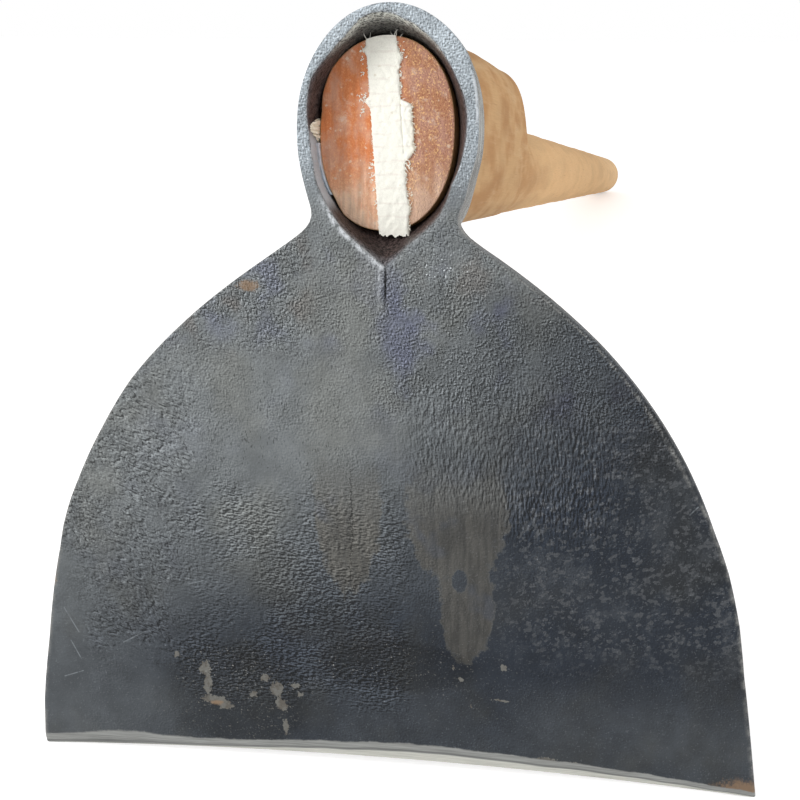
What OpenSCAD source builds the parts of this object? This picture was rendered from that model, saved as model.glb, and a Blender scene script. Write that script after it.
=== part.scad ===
// Vineyard hoe: a forged steel head with an oval eye, a long round wooden handle that swells
// behind the eye, and the wedge, shim and torn splinter that sit with its tenon in the eye.
// Every piece is drawn in the hoe's own frame: the front of the eye lies on y = 0, the handle
// runs along +Y and the blade hangs down along -Z. The hoe is then tipped as a whole onto the
// two corners of its cutting edge and the butt of its handle, as it stands on the ground.

/* [Blade] */
// Width across the two corners of the cutting edge
blade_w = 225; // [160:1:270]
// Length along the blade's curve, from the neck to the corners
blade_l = 171.5; // [130:0.5:210]
// Width of the neck, where the blade leaves the eye
neck_w = 39.5; // [36:0.5:46]
// How softly the neck turns into the shoulders
neck_round = 3.5; // [2:0.5:10]
// Share of the widening that runs on evenly down to the edge
even_flare = 0.24; // [0.1:0.01:0.4]
// How fast the shoulders widen below the neck
shoulder_power = 3.75; // [2.5:0.05:4.5]
// Height of the hollow worn into the middle of the cutting edge
edge_arch = 4; // [0:0.5:6]
// Angle between blade and handle at the neck, in degrees
neck_angle = 88; // [80:1:92]
// Angle between blade and handle at the cutting edge, in degrees
edge_angle = 76; // [66:1:84]
// Thickness of the blade at the neck
neck_t = 8; // [6:0.5:10]
// Thickness of the blade above its ground strip
edge_t = 2.4; // [1.8:0.1:4]
// How fast the blade thins below the neck
thinning_power = 2.5; // [1.5:0.1:4]
// Length of the strip ground along the edge
bevel_l = 6; // [3:0.5:12]
// Thickness left at the cutting edge itself
land_t = 0.8; // [0.4:0.1:1.5]

/* [Eye] */
// Thickness of the rim at the front of the eye, at its sides
rim_side = 2.9; // [2:0.1:6]
// Thickness of the rim at the front of the eye, at its top
rim_top = 2.3; // [2:0.1:6]
// Thickness of the rim under the point of the mouth's notch
rim_low = 1.6; // [1:0.1:6]
// Height of the eye's widest level above the middle of the tenon
eye_rise = 2.75; // [0:0.25:5]
// Depth of the eye along the handle, at its crown
eye_depth_top = 24; // [19:1:32]
// Depth of the eye along the handle, at its keel
eye_depth_low = 36; // [28:1:44]
// Narrowing of the eye's outside per millimetre of depth, on each side
eye_draft = 0.037; // [0:0.001:0.06]
// Flare of the bore's mouth beyond the tenon, at each side
flare_side = 3; // [3:0.1:6]
// Flare of the bore's mouth beyond the tenon, at its top
flare_top = 5.3; // [2:0.1:8]
// Height of the mouth's widest level above the middle of the tenon
mouth_rise = 4.75; // [0:0.25:6]
// Drop of the notch at the bottom of the mouth, below the tenon
notch_drop = 9.8; // [6:0.1:12]
// Depth over which the mouth narrows to the tenon
mouth_depth = 18; // [14:0.5:18.5]

/* [Handle] */
// Distance from the front of the eye to the butt of the handle
reach = 1500; // [900:10:1800]
// Sideways offset of the handle in the eye
handle_x = -1.75; // [-2:0.25:2]
// Height of the handle's straight underside above the neck
underside_z = -2.2; // [-5:0.1:0]
// Diameter of the round shaft
shaft_d = 40.5; // [36:0.5:44]
// Width of the swell behind the eye
swell_w = 40.5; // [38:0.5:44]
// Height of the swell behind the eye
swell_h = 62; // [58:0.5:68]
// Distance from the front of the eye to the full swell
swell_start = 130; // [70:5:140]
// Distance from the front of the eye to where the swell starts to fall
swell_end = 230; // [180:5:280]
// Length over which the swell falls to the round shaft
fall_l = 35; // [30:5:120]
// Width of the tenon
tenon_w = 39.9; // [33:0.1:48]
// Height of the tenon
tenon_h = 55.7; // [46:0.1:67]
// Height of the tenon's underside above the handle's
tenon_step = 1.1; // [0:0.1:3]
// Distance of the tenon's sawn end behind the front of the eye
recess = 12; // [8:0.5:14]
// Rounding of the butt's edge
butt_round = 8; // [2:0.5:12]

/* [Wedge and packing] */
// Thickness of the wedge at its outer end
wedge_t = 8.8; // [6:0.1:11]
// Thickness of the wedge at its thin end
wedge_tip_t = 2; // [1:0.1:3]
// Length of the wedge
wedge_l = 34; // [25:1:40]
// How far the wedge stands out of the tenon
wedge_proud = 1; // [0:0.1:2]
// Lean of the wedge from upright, in degrees
wedge_lean = 5; // [-10:0.5:10]
// Drop of the wedge's crushed lower lip below the tenon
lip_drop = 1.3; // [0:0.1:1.8]
// Thickness of the shim at its middle
shim_t = 1; // [0.6:0.1:1.4]
// Height of the shim's lower end above the tenon's underside
shim_z = 10; // [6:0.5:12]
// Length of the shim up the side of the tenon
shim_l = 15; // [10:0.5:23]
// Length of the splinter above the shim
splinter_l = 8; // [4:0.5:10]

/* [Hidden] */
$fn = 96;

// Room past a face for a cut that goes right through it
past = 5;
// Points round each oval, and rows along the blade and the swell
oval_n = 48;
blade_rows = 64;
swell_rows = 8;
fall_rows = 12;
// Squareness of the ovals: 2 is an ellipse
tenon_square = 2.15;
swell_square = 2.95;
mouth_square = 1.85;
notch_power = 2.5;

// Side curve of the blade's front face: y and z at a distance s below the neck
blade_curve = (edge_angle - neck_angle) / blade_l;
function side_angle(s) = neck_angle + blade_curve * s;
bend_r = 180 / PI / blade_curve;
function front_y(s) = bend_r * (sin(side_angle(s)) - sin(neck_angle));
function front_z(s) = bend_r * (cos(side_angle(s)) - cos(neck_angle));
function front(s) = [front_y(s), front_z(s)];
function inward(s) = [sin(side_angle(s)), cos(side_angle(s))];

// Thickness of the blade at a distance s below the neck, and the depth of its ground strip
function thinness(s) = pow(1 - max(s, 0) / blade_l, thinning_power);
function blade_t(s) = edge_t + (neck_t - edge_t) * thinness(s);
bevel_cut = edge_t - land_t;

// Half width of the blade at a distance s below the neck
function soft(s) = (s + sqrt(s * s + neck_round * neck_round)) / 2;
function widening(u) = even_flare * u + (1 - even_flare) * (1 - pow(1 - min(u, 1), shoulder_power));
function half_w(s) = neck_w / 2 + (blade_w - neck_w) / 2 * widening(soft(s) / soft(blade_l));
blade_top = -8;

// An oval in the x-z plane with its own half width on each side and its own rise and drop
function sgn_pow(v, p) = sign(v) * pow(abs(v), p);
function oval(x, z, left, right, up, down, square) = [
    for (i = [0 : oval_n - 1])
        let (c = cos(360 * i / oval_n), s = sin(360 * i / oval_n))
            [x + (c < 0 ? left : right) * sgn_pow(c, 2 / square),
             z + (s < 0 ? down : up) * sgn_pow(s, 2 / square)]
];

// The tenon's underside and middle
tenon_low = underside_z + tenon_step;
tenon_z = tenon_low + tenon_h / 2;

// The mouth: an oval above its widest level, and below it sides that close to the notch
mouth_w = tenon_w + 2 * flare_side;
mouth_top = tenon_low + tenon_h + flare_top;
mouth_z = tenon_z + mouth_rise;
notch_z = tenon_low - notch_drop;
mouth_fall = mouth_z - notch_z;
function mouth_point(i) =
    let (a = 360 * i / oval_n, c = cos(a), u = -sin(a))
        a <= 180
            ? [mouth_w / 2 * sgn_pow(c, 2 / mouth_square),
               mouth_z + (mouth_top - mouth_z) * sgn_pow(sin(a), 2 / mouth_square)]
            : [mouth_w / 2 * sign(c) * (1 - pow(u, notch_power)), mouth_z - mouth_fall * u];
mouth_outline = [for (i = [0 : oval_n - 1]) mouth_point(i)];

// The tenon and the throat that it fills, which is wider by the shim on one side
tenon_outline = oval(handle_x, tenon_z, tenon_w / 2, tenon_w / 2,
                     tenon_h / 2, tenon_h / 2, tenon_square);
throat_outline = oval(handle_x, tenon_z, tenon_w / 2 + shim_t, tenon_w / 2,
                      tenon_h / 2, tenon_h / 2, tenon_square);

// The eye's outside, at its front and carried back past its rear
eye_w = mouth_w + 2 * rim_side;
eye_z = tenon_z + eye_rise;
eye_crown = mouth_top + rim_top - eye_z;
eye_keel = eye_z - notch_z + rim_low;
eye_back = max(eye_depth_top, eye_depth_low) + past;
function eye_outline(draft) = oval(0, eye_z, eye_w / 2 - draft, eye_w / 2 - draft,
                                   eye_crown - draft, eye_keel - draft, 2);
eye_slant = atan((eye_depth_low - eye_depth_top) / (eye_crown + eye_keel));

// The handle's section at a distance y: tenon, swell or shaft, with soft changes between.
// The shaped part ends a hair inside the turned shaft.
shaft_r = shaft_d / 2;
hair = 0.1;
shaft_z = underside_z + shaft_r;
fall_end = swell_end + fall_l;
function ease(u) = let (v = min(max(u, 0), 1)) v * v * (3 - 2 * v);
function mix(a, b, u) = a + (b - a) * u;
function grown(y) = ease((y - eye_depth_low) / (swell_start - eye_depth_low));
function fallen(y) = ease((y - swell_end) / fall_l);
function step(y, tenon, swell, shaft) = mix(mix(tenon, swell, grown(y)), shaft, fallen(y));
function section(y) =
    let (w = step(y, tenon_w, swell_w, shaft_d - 2 * hair) / 2,
         h = step(y, tenon_h, swell_h, shaft_d - 2 * hair) / 2,
         low = step(y, tenon_low, underside_z, underside_z + hair),
         square = step(y, tenon_square, swell_square, 2))
        oval(handle_x, low + h, w, w, h, h, square);
swell_stations = [
    each [for (i = [0 : swell_rows]) mix(eye_depth_low, swell_start, i / swell_rows)],
    each [for (i = [0 : fall_rows]) mix(swell_end, fall_end, i / fall_rows)]
];

// The wedge lies from its proud end into the tenon, and the saw cut runs on past its thin end
wedge_front = recess - wedge_proud;
wedge_back = wedge_front + wedge_l;
saw_cut = 1.5;

// The splinter begins where the shim ends, and stands further out of the gap
shim_top = tenon_low + shim_z + shim_l;
splinter_proud = 6;

// The tip onto the ground: the front corners of the edge and the rounded butt both touch it
corner = front(blade_l) + bevel_cut * inward(blade_l);
butt_low = [reach - butt_round, underside_z + butt_round];
to_butt = butt_low - corner;
tilt = atan2(to_butt[1], to_butt[0]) - asin(butt_round / norm(to_butt));
function tipped_y(p) = p[0] * cos(tilt) + p[1] * sin(tilt);
function tipped_z(p) = p[1] * cos(tilt) - p[0] * sin(tilt);
lift = -tipped_z(corner);
butt_high = [reach - butt_round, underside_z + shaft_d - butt_round];
nose = min([for (i = [0 : blade_rows]) tipped_y(front(blade_l * i / blade_rows))]);
tail = tipped_y(butt_high) + butt_round;

// Sets a piece on the ground, with the hoe's middle over the origin
module on_ground() {
    translate([0, -(nose + tail) / 2, lift])
        rotate([-tilt, 0, 0])
            children();
}

// A flat outline in the x-z plane, carried from y = from to y = to
module along_y(outline, from, to) {
    translate([0, to, 0])
        rotate([90, 0, 0])
            linear_extrude(to - from)
                polygon(outline);
}

// A skin over outlines of equal count, each standing at its own y
module loft(outlines, stations) {
    n = len(outlines[0]);
    last = len(outlines) - 1;
    points = [
        for (j = [0 : last])
            for (p = outlines[j])
                [p[0], stations[j], p[1]]
    ];
    sides = [
        for (j = [0 : last - 1])
            for (i = [0 : n - 1])
                let (a = j * n + i, b = j * n + (i + 1) % n)
                    each [[a, b, a + n], [b, b + n, a + n]]
    ];
    near_end = [for (i = [n - 1 : -1 : 0]) i];
    far_end = [for (i = [0 : n - 1]) last * n + i];
    polyhedron(points, concat(sides, [near_end, far_end]));
}

// The blade's front outline, both halves, with the arch of the worn edge
module blade_outline() {
    side = [
        for (i = [0 : blade_rows])
            let (s = mix(blade_top, blade_l, i / blade_rows))
                [half_w(s), front_z(s)]
    ];
    edge = [
        for (i = [1 : blade_rows - 1])
            let (x = mix(1, -1, i / blade_rows))
                [x * half_w(blade_l), front_z(blade_l - edge_arch * (1 - x * x))]
    ];
    mirrored = [for (i = [blade_rows : -1 : 0]) [-side[i][0], side[i][1]]];
    translate([0, eye_back + blade_l, 0])
        rotate([90, 0, 0])
            linear_extrude(eye_back + 2 * blade_l)
                polygon(concat(side, edge, mirrored));
}

// The blade's side profile: the curved front face, the ground strip and the thinning back
module blade_profile() {
    strip = blade_l - bevel_l;
    face = [for (i = [0 : blade_rows]) front(mix(blade_top, strip, i / blade_rows))];
    back = [
        for (i = [blade_rows : -1 : 0])
            let (s = mix(blade_top, blade_l, i / blade_rows))
                front(s) + blade_t(s) * inward(s)
    ];
    translate([-blade_w, 0, 0])
        rotate([90, 0, 90])
            linear_extrude(2 * blade_w)
                polygon(concat(face, [corner], back));
}

// The bore of the eye: its flared mouth, then the throat right through to the rear
module bore() {
    loft([mouth_outline, throat_outline], [0, mouth_depth]);
    along_y(mouth_outline, -past, 0);
    along_y(throat_outline, mouth_depth, eye_back + past);
}

// The forged head: one piece of steel, a thin blade that thickens into the oval eye
module hoe_head() {
    color([0.30, 0.31, 0.33])
        on_ground()
            difference() {
                union() {
                    intersection() {
                        blade_outline();
                        blade_profile();
                    }
                    loft([eye_outline(0), eye_outline(eye_draft * eye_back)], [0, eye_back]);
                }
                bore();
                translate([0, eye_depth_top, eye_z + eye_crown])
                    rotate([eye_slant, 0, 0])
                        translate([-eye_w, 0, -2 * eye_keel - eye_crown])
                            cube([2 * eye_w, eye_back, 3 * eye_keel + eye_crown]);
            }
}

// The wedge's tapered block, leaning as it was driven, longer than the tenon is high
module wedge_block(deeper) {
    translate([handle_x, 0, tenon_z])
        rotate([0, -wedge_lean, 0])
            translate([0, 0, -tenon_h])
                linear_extrude(2 * tenon_h)
                    polygon([
                        [-wedge_t / 2, wedge_front],
                        [wedge_t / 2, wedge_front],
                        [wedge_tip_t / 2, wedge_back],
                        [wedge_tip_t / 2, wedge_back + deeper],
                        [-wedge_tip_t / 2, wedge_back + deeper],
                        [-wedge_tip_t / 2, wedge_back]
                    ]);
}

// The handle: one turned and shaped piece of wood, split by the saw for its wedge
module handle() {
    body_l = reach - butt_round - fall_end;
    color([0.78, 0.63, 0.43])
        on_ground()
            difference() {
                union() {
                    along_y(tenon_outline, recess, eye_depth_low);
                    loft([for (y = swell_stations) section(y)], swell_stations);
                    translate([handle_x, fall_end, shaft_z])
                        rotate([-90, 0, 0])
                            cylinder(h = body_l, r = shaft_r);
                    translate([handle_x, reach - butt_round, shaft_z])
                        rotate([-90, 0, 0])
                            rotate_extrude()
                                butt_profile();
                }
                wedge_block(saw_cut);
            }
}

// Half section of the butt: flat in the middle, a quarter round at its edge
module butt_profile() {
    square([shaft_r - butt_round, butt_round]);
    intersection() {
        square([shaft_r, butt_round]);
        translate([shaft_r - butt_round, 0])
            circle(r = butt_round);
    }
}

// The wedge: a strip of pale wood driven into the saw cut, crushed over at its lower end
module wedge() {
    lip_z = tenon_low - lip_drop;
    color([0.96, 0.93, 0.85])
        on_ground()
            intersection() {
                wedge_block(0);
                union() {
                    along_y(tenon_outline, wedge_front, wedge_back);
                    intersection() {
                        bore();
                        translate([handle_x - wedge_t, wedge_front, lip_z])
                            cube([2 * wedge_t, 2 * wedge_proud, tenon_h / 2]);
                    }
                }
            }
}

// A length of the crescent between tenon and throat, from one height to another
module packing(low, high, from, to) {
    intersection() {
        bore();
        difference() {
            along_y(throat_outline, from, to);
            along_y(tenon_outline, from - past, to + past);
        }
        translate([handle_x - tenon_w, from - past, low])
            cube([tenon_w, to - from + 2 * past, high - low]);
    }
}

// The shim: a thin strip pushed in beside the tenon, where the eye is too wide for it
module eye_shim() {
    color([0.60, 0.67, 0.72])
        on_ground()
            packing(tenon_low + shim_z, shim_top, wedge_front, eye_depth_top);
}

// The splinter: a flake torn from the tenon's flank and jammed beside it above the shim
module splinter() {
    color([0.86, 0.80, 0.66])
        on_ground()
            packing(shim_top, shim_top + splinter_l, wedge_front - splinter_proud, mouth_depth);
}

hoe_head();
handle();
wedge();
eye_shim();
splinter();
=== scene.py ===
import math

import bmesh
import bpy
import numpy as np
from mathutils import Matrix, Vector


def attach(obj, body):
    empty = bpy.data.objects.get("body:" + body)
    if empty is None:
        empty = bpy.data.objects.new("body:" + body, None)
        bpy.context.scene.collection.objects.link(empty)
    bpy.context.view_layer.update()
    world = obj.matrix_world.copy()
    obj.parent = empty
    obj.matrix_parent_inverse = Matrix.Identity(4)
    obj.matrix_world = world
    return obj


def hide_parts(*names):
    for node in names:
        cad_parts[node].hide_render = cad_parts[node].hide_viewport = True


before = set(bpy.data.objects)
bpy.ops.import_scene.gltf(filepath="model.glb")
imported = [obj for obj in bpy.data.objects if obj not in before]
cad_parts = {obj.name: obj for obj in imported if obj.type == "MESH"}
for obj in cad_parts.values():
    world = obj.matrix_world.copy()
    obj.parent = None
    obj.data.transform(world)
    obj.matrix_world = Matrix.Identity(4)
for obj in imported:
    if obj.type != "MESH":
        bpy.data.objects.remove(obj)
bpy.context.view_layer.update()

# The head. One forging of carbon steel: the end of a thick bar is pierced and drawn out for the
# oval eye, and the rest is spread under the hammer into the blade. It keeps its black scale
# under a thin lacquer, and only a narrow strip along the cutting edge is ground.
# Sizes are in millimetres, in the hoe's own frame: the front of the eye lies on y = 0, the
# handle runs along +Y and the blade hangs down along -Z.
mm = 0.001
blade_w = 225
blade_l = 171.5
neck_w = 39.5
neck_round = 3.5
even_flare = 0.24
shoulder_power = 3.75
edge_arch = 4
neck_angle = 88
edge_angle = 76
above_neck = 8
neck_t = 8
edge_t = 2.4
thinning_power = 2.5
land_t = 0.8
rim_side = 2.9
rim_top = 2.3
rim_low = 1.6
eye_rise = 2.75
eye_depth_top = 24
eye_depth_low = 36
eye_draft = 0.037
flare_side = 3
flare_top = 5.3
mouth_rise = 4.75
notch_drop = 9.8
mouth_depth = 18
mouth_power = 1.85
notch_power = 2.5
reach = 1500
butt_round = 8
handle_x = -1.75
underside_z = -2.2
shaft_d = 40.5
tenon_w = 39.9
tenon_h = 55.7
tenon_step = 1.1
tenon_power = 2.15
shim_t = 1

tenon_low = underside_z + tenon_step
tenon_z = tenon_low + tenon_h / 2
mouth_half = tenon_w / 2 + flare_side
mouth_top = tenon_low + tenon_h + flare_top
mouth_z = tenon_z + mouth_rise
notch_z = tenon_low - notch_drop
eye_half = mouth_half + rim_side
eye_z = tenon_z + eye_rise
eye_top = mouth_top + rim_top
eye_low = notch_z - rim_low
bevel_cut = edge_t - land_t
blade_curve = (edge_angle - neck_angle) / blade_l
bend_r = 180 / math.pi / blade_curve


def ease(u):
    """0 below 0, 1 above 1, and 3u^2 - 2u^3 between."""
    v = np.clip(u, 0, 1)
    return v * v * (3 - 2 * v)


def mix(a, b, u):
    """a at u = 0 and b at u = 1, on a straight line."""
    return a + (b - a) * u


def bump(value, centre, width):
    """A bell: 1 at the centre, falling as e to the minus square of the distance over the width."""
    return np.exp(-((value - centre) / width) ** 2)


def side_angle(s):
    """Angle between blade and handle at s below the neck, in radians. It turns evenly along the
    blade, and eases to a right angle just above the neck."""
    above = 90 - (90 - neck_angle) * ease(s / above_neck + 1)
    return np.radians(np.where(s < 0, above, neck_angle + blade_curve * s))


def front_y(s):
    """How far the blade's front face has curved back at s below the neck: an arc."""
    turned = np.radians(neck_angle + blade_curve * np.maximum(s, 0))
    return bend_r * (np.sin(turned) - math.sin(math.radians(neck_angle)))


def front_z(s):
    """Height of the blade's front face at s below the neck: an arc, and upright above it."""
    turned = np.radians(neck_angle + blade_curve * np.maximum(s, 0))
    fall = bend_r * (np.cos(turned) - math.cos(math.radians(neck_angle)))
    return np.where(s < 0, -s, fall)


def forged(x, h, d):
    """The point at x across, h above the neck along the front face, and d square behind it."""
    angle = side_angle(-h)
    return np.stack([x, front_y(-h) + d * np.sin(angle), front_z(-h) + d * np.cos(angle)], axis=-1)


# The hoe stands on the two corners of its blade and on its rounded butt.
corner = forged(0.0, -blade_l, bevel_cut)
butt_y = reach - butt_round
butt_z = underside_z + butt_round
span = math.hypot(butt_y - corner[1], butt_z - corner[2])
tilt = math.atan2(butt_z - corner[2], butt_y - corner[1]) - math.asin(butt_round / span)
lift = corner[1] * math.sin(tilt) - corner[2] * math.cos(tilt)
face_s = np.linspace(0, blade_l, 65)
nose = (front_y(face_s) * math.cos(tilt) + front_z(face_s) * math.sin(tilt)).min()
butt_high = underside_z + shaft_d - butt_round
tail = butt_y * math.cos(tilt) + butt_high * math.sin(tilt) + butt_round
middle = (nose + tail) / 2


def on_ground(points):
    """Turns points of the hoe's own frame, in millimetres, to metres on the ground: a turn by
    the tilt about X, then a lift."""
    p = np.asarray(points, dtype=float)
    y = p[..., 1] * math.cos(tilt) + p[..., 2] * math.sin(tilt) - middle
    z = p[..., 2] * math.cos(tilt) - p[..., 1] * math.sin(tilt) + lift
    return np.stack([p[..., 0], y, z], axis=-1) * mm


def waves(u, v, long_u, long_v, seed, count=48):
    """Smooth random relief, about 1 high: a sum of plane waves with random headings, phases and
    lengths, where long_u and long_v are the usual lengths of a wave along u and v."""
    rng = np.random.default_rng(seed)
    heading = rng.uniform(0, 2 * math.pi, count)
    pace = rng.uniform(0.62, 1.4, count)
    phase = rng.uniform(0, 2 * math.pi, count)
    total = np.zeros(np.broadcast(u, v).shape)
    for way, step, start in zip(heading, pace, phase):
        total += np.cos(2 * math.pi * step * (u * math.cos(way) / long_u + v * math.sin(way) / long_v) + start)
    return total * math.sqrt(2 / count) / 2


def oval(angle, power):
    """A unit oval at an angle from its right side: the cosine and the sine, each to the power
    2 / power with its sign kept."""
    c, s = np.cos(angle), np.sin(angle)
    return np.sign(c) * np.abs(c) ** (2 / power), np.sign(s) * np.abs(s) ** (2 / power)


def blade_half(s):
    """Half width of the blade at s below the neck: an even flare, and shoulders that widen as
    1 - (1 - u)^p, with a soft start."""
    def soft(v):
        return (v + np.sqrt(v * v + neck_round * neck_round)) / 2
    u = np.minimum(soft(s) / soft(blade_l), 1)
    widening = even_flare * u + (1 - even_flare) * (1 - (1 - u) ** shoulder_power)
    return mix(neck_w / 2, blade_w / 2, widening)


def blade_t(s):
    """Thickness at s below the neck: it thins as (1 - s / length)^p."""
    return edge_t + (neck_t - edge_t) * (1 - np.clip(s, 0, blade_l) / blade_l) ** thinning_power


def round_over(distance, radius):
    """How far a face has fallen away near a corner of that radius: a quarter circle."""
    near = np.clip(radius - distance, 0, radius)
    return radius - np.sqrt(np.maximum(radius * radius - near * near, 0))


def line(points):
    """A drawn line: the length along it at each of its points, and the points."""
    steps = np.linalg.norm(np.diff(points[:, :2], axis=0), axis=1)
    return np.concatenate([[0], np.cumsum(steps)]), points


def along(drawn_line, distance):
    """A line's columns at a distance along it, straight between its points."""
    at, points = drawn_line
    return np.stack([np.interp(distance, at, column) for column in points.T], axis=-1)


def reached(drawn_line, height):
    """How far along a line that only falls it reaches a height."""
    at, points = drawn_line
    return np.interp(-height, -points[:, 1], at)


# The mouth of the bore and the outside of the eye, each drawn down its right side: an oval
# above the widest level, and below it sides that close to the point of the notch.
drawn = np.linspace(math.pi / 2, -math.pi / 2, 900)
upper_x, upper_z = oval(drawn, mouth_power)
sink = np.clip(-np.sin(drawn), 0, 1)
mouth_x = mouth_half * np.where(drawn > 0, upper_x, 1 - sink ** notch_power)
mouth_h = mouth_z + np.where(drawn > 0, (mouth_top - mouth_z) * upper_z, (notch_z - mouth_z) * sink)
mouth_line = line(np.stack([mouth_x, mouth_h, drawn], axis=-1))
eye_x, eye_h = oval(drawn, 2)
eye_h = eye_z + np.where(drawn > 0, eye_top - eye_z, eye_z - eye_low) * eye_h
eye_line = line(np.stack([eye_half * eye_x, eye_h], axis=-1))

# The outline of the whole head: the eye's outside high up, and below that the wider of eye and
# blade, blended softly where they meet. The blade's lower corner is rounded.
blend_top = 20
blend_over = 14
neck_blend = 1.5
corner_round = 0.8
level = np.linspace(blend_top, -blade_l, 1500)
eye_there = eye_half * np.sqrt(np.clip(1 - ((eye_z - level) / (eye_z - eye_low)) ** 2, 0, 1))
blade_there = blade_half(-level)
softness = neck_blend * ease((blend_top - level) / blend_over)
outer_x = (eye_there + blade_there + np.sqrt((eye_there - blade_there) ** 2 + softness ** 2)) / 2
outer_x -= round_over(level + blade_l, corner_round)
upper = eye_line[1][eye_line[1][:, 1] > blend_top]
outline = line(np.concatenate([upper, np.stack([outer_x, level], axis=-1)]))

# Rows of the mesh. The ring rows run round the eye from its crown to the point of the notch,
# and fan out below the neck. The blade rows follow down to the cutting edge, closer together at
# the notch and over the ground strip.
ring_rows = 84
neck_share = 0.66
neck_level = 6
shoulder_level = -30
t = np.linspace(0, 1, ring_rows + 1)
knots = [0, neck_share, 1]
ring_in = np.interp(t, knots, [0, reached(mouth_line, neck_level), mouth_line[0][-1]])
ring_out = np.interp(t, knots, [0, reached(outline, neck_level), reached(outline, shoulder_level)])
ring_foot = np.interp(t, knots, [0, reached(eye_line, neck_level), eye_line[0][-1]])
centre_l = blade_l - edge_arch + notch_z
fine_first = np.full(12, 0.75)
fine_last = np.full(18, 0.5)
plain_n = 116
plain = np.full(plain_n, (centre_l - fine_first.sum() - fine_last.sum()) / plain_n)
fallen = np.cumsum(np.concatenate([fine_first, plain, fine_last]))
rows = ring_rows + len(fallen)
drawn_in = np.concatenate([along(mouth_line, ring_in)[:, :2], np.stack([0 * fallen, notch_z - fallen], axis=-1)])
low_out = mix(ring_out[-1], outline[0][-1], fallen / centre_l)
low_out = np.maximum(low_out, outline[0][-1] - (centre_l - fallen))
drawn_out = along(outline, np.concatenate([ring_out, low_out]))
foot_fall = fallen * (centre_l - rim_low) / centre_l
drawn_foot = np.concatenate([along(eye_line, ring_foot), np.stack([0 * fallen, eye_low - foot_fall], axis=-1)])
on_blade = (np.arange(rows + 1) > ring_rows)[:, None]
to_edge = np.concatenate([np.full(ring_rows + 1, centre_l), centre_l - fallen])[:, None]

# Columns of the mesh: across the front, round the side, across the back to the eye's foot, up
# the boss, over its rear rim, and forward again through the bore.
front_n = 112
side_n = 6
back_n = front_n // 2
boss_n = 12
rear_round_n = 4
rear_n = 5
bore_n = 18
front_round = 0.8
mouth_round = 1.0
back_round = 0.9
fillet = 6
rear_round = 1.5
arch_reach = 34
lip_depth = 1.3
lip_step = 0.4


def spread(length):
    """Shares of the way across a row, closer together over its first and last 1.6 mm."""
    near = np.array([0, 0.15, 0.4, 0.8, 1.6])
    first = near * np.minimum(1, length / 12)[:, None]
    last = length[:, None] - first[:, ::-1]
    between = np.linspace(0, 1, front_n + 3 - 2 * len(near))[1:-1]
    inside = mix(first[:, -1:], last[:, :1], between)
    return np.concatenate([first, inside, last], axis=1) / length[:, None]


def arched(x, h, full):
    """Lifts a straight row into the hollow worn in the cutting edge, more the nearer it lies."""
    v = x / np.maximum(full, 1)
    return h + edge_arch * (v - v * v) * ease(1 - to_edge / arch_reach) * on_blade


def drafted(x, h, shift):
    """Moves a point of the eye's outside by a distance towards the eye's middle."""
    away = np.hypot(x, h - eye_z) + 0.001
    return x * (1 - shift / away), h - (h - eye_z) * shift / away


def patch(x, h, spots):
    """The nearest of several oval patches: 1 in a patch's middle, 0 on its border, less outside.
    Each patch is its middle, its half width and its half height."""
    return np.max([1 - np.hypot((x - cx) / rx, (h - cy) / ry) for cx, cy, rx, ry in spots], axis=0)


def window(value, low, high, soft):
    """1 between low and high, and 0 outside, with an ease of the given length at both ends."""
    return ease((value - low) / soft + 0.5) * ease((high - value) / soft + 0.5)


# How far the hammer left the rim and the mouth from their drawn ovals: millimetres outwards by the
# degrees round the eye, from 90 at the crown to -90 at the notch, for the right half and the
# left. And how far it left the blade's sides, by the height above the neck.
rim_stray = {
    1: ([-55, -50, -33, -18, 0, 12, 28, 42, 52, 66, 90], [0, 0, -0.5, 0.2, 0.05, 0.15, 0.7, 1.28, 1.1, 0.75, 0.52]),
    -1: ([-55, -50, -20, 0, 50, 70, 90], [0, 0.1, 0.35, 0.15, 0.18, 0.42, 0.52]),
}
mouth_stray = {
    1: ([-90, -80, -68, -60, -52, -42, -30, -10, 4, 20, 34, 48, 70, 82, 90],
        [0, -0.8, -0.1, 0.3, -0.3, -1.25, -0.75, -0.4, -0.25, -0.75, -1.4, -1.65, -1.3, -0.9, 0.3]),
    -1: ([-90, -78, -66, -55, -40, -28, -10, 3, 14, 28, 36, 44, 56, 66, 74, 80, 90],
         [0, 0.1, 0.65, 0.35, 0.25, -0.45, -0.45, 0.15, 0.5, 1.12, 0.5, -0.4, -0.68, -0.5, 0.75, 0.9, 0.3]),
}
side_stray = {
    1: ([-130, -114, -98, -85, -32, -22, -15, -8.5, -6, -2.6, 1, 8],
        [0, 0.7, 0.7, 0, 0, -0.45, -0.8, -1.3, -1.7, -2.0, -1.45, 0]),
    -1: ([-171, -155, -147, -132, -117, -101, -94, -86, -78, -62, -55, -47, -40, -25, -10],
         [0.1, 0.9, 0.85, 0.4, 0.55, 0.7, 1.2, 1.25, 0.9, 0.75, 1.0, 1.4, 1.25, 0.7, 0]),
}


def strayed(points, stray, kept=1.0):
    """Moves points straight out from the eye's middle by a share of the stray at their angle."""
    away = np.hypot(points[:, 0], points[:, 1] - eye_z)
    angle = np.degrees(np.arctan2(points[:, 1] - eye_z, points[:, 0]))
    grown = 1 + kept * np.interp(angle, *stray) / away
    return np.stack([points[:, 0] * grown, eye_z + (points[:, 1] - eye_z) * grown], axis=-1)


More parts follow.
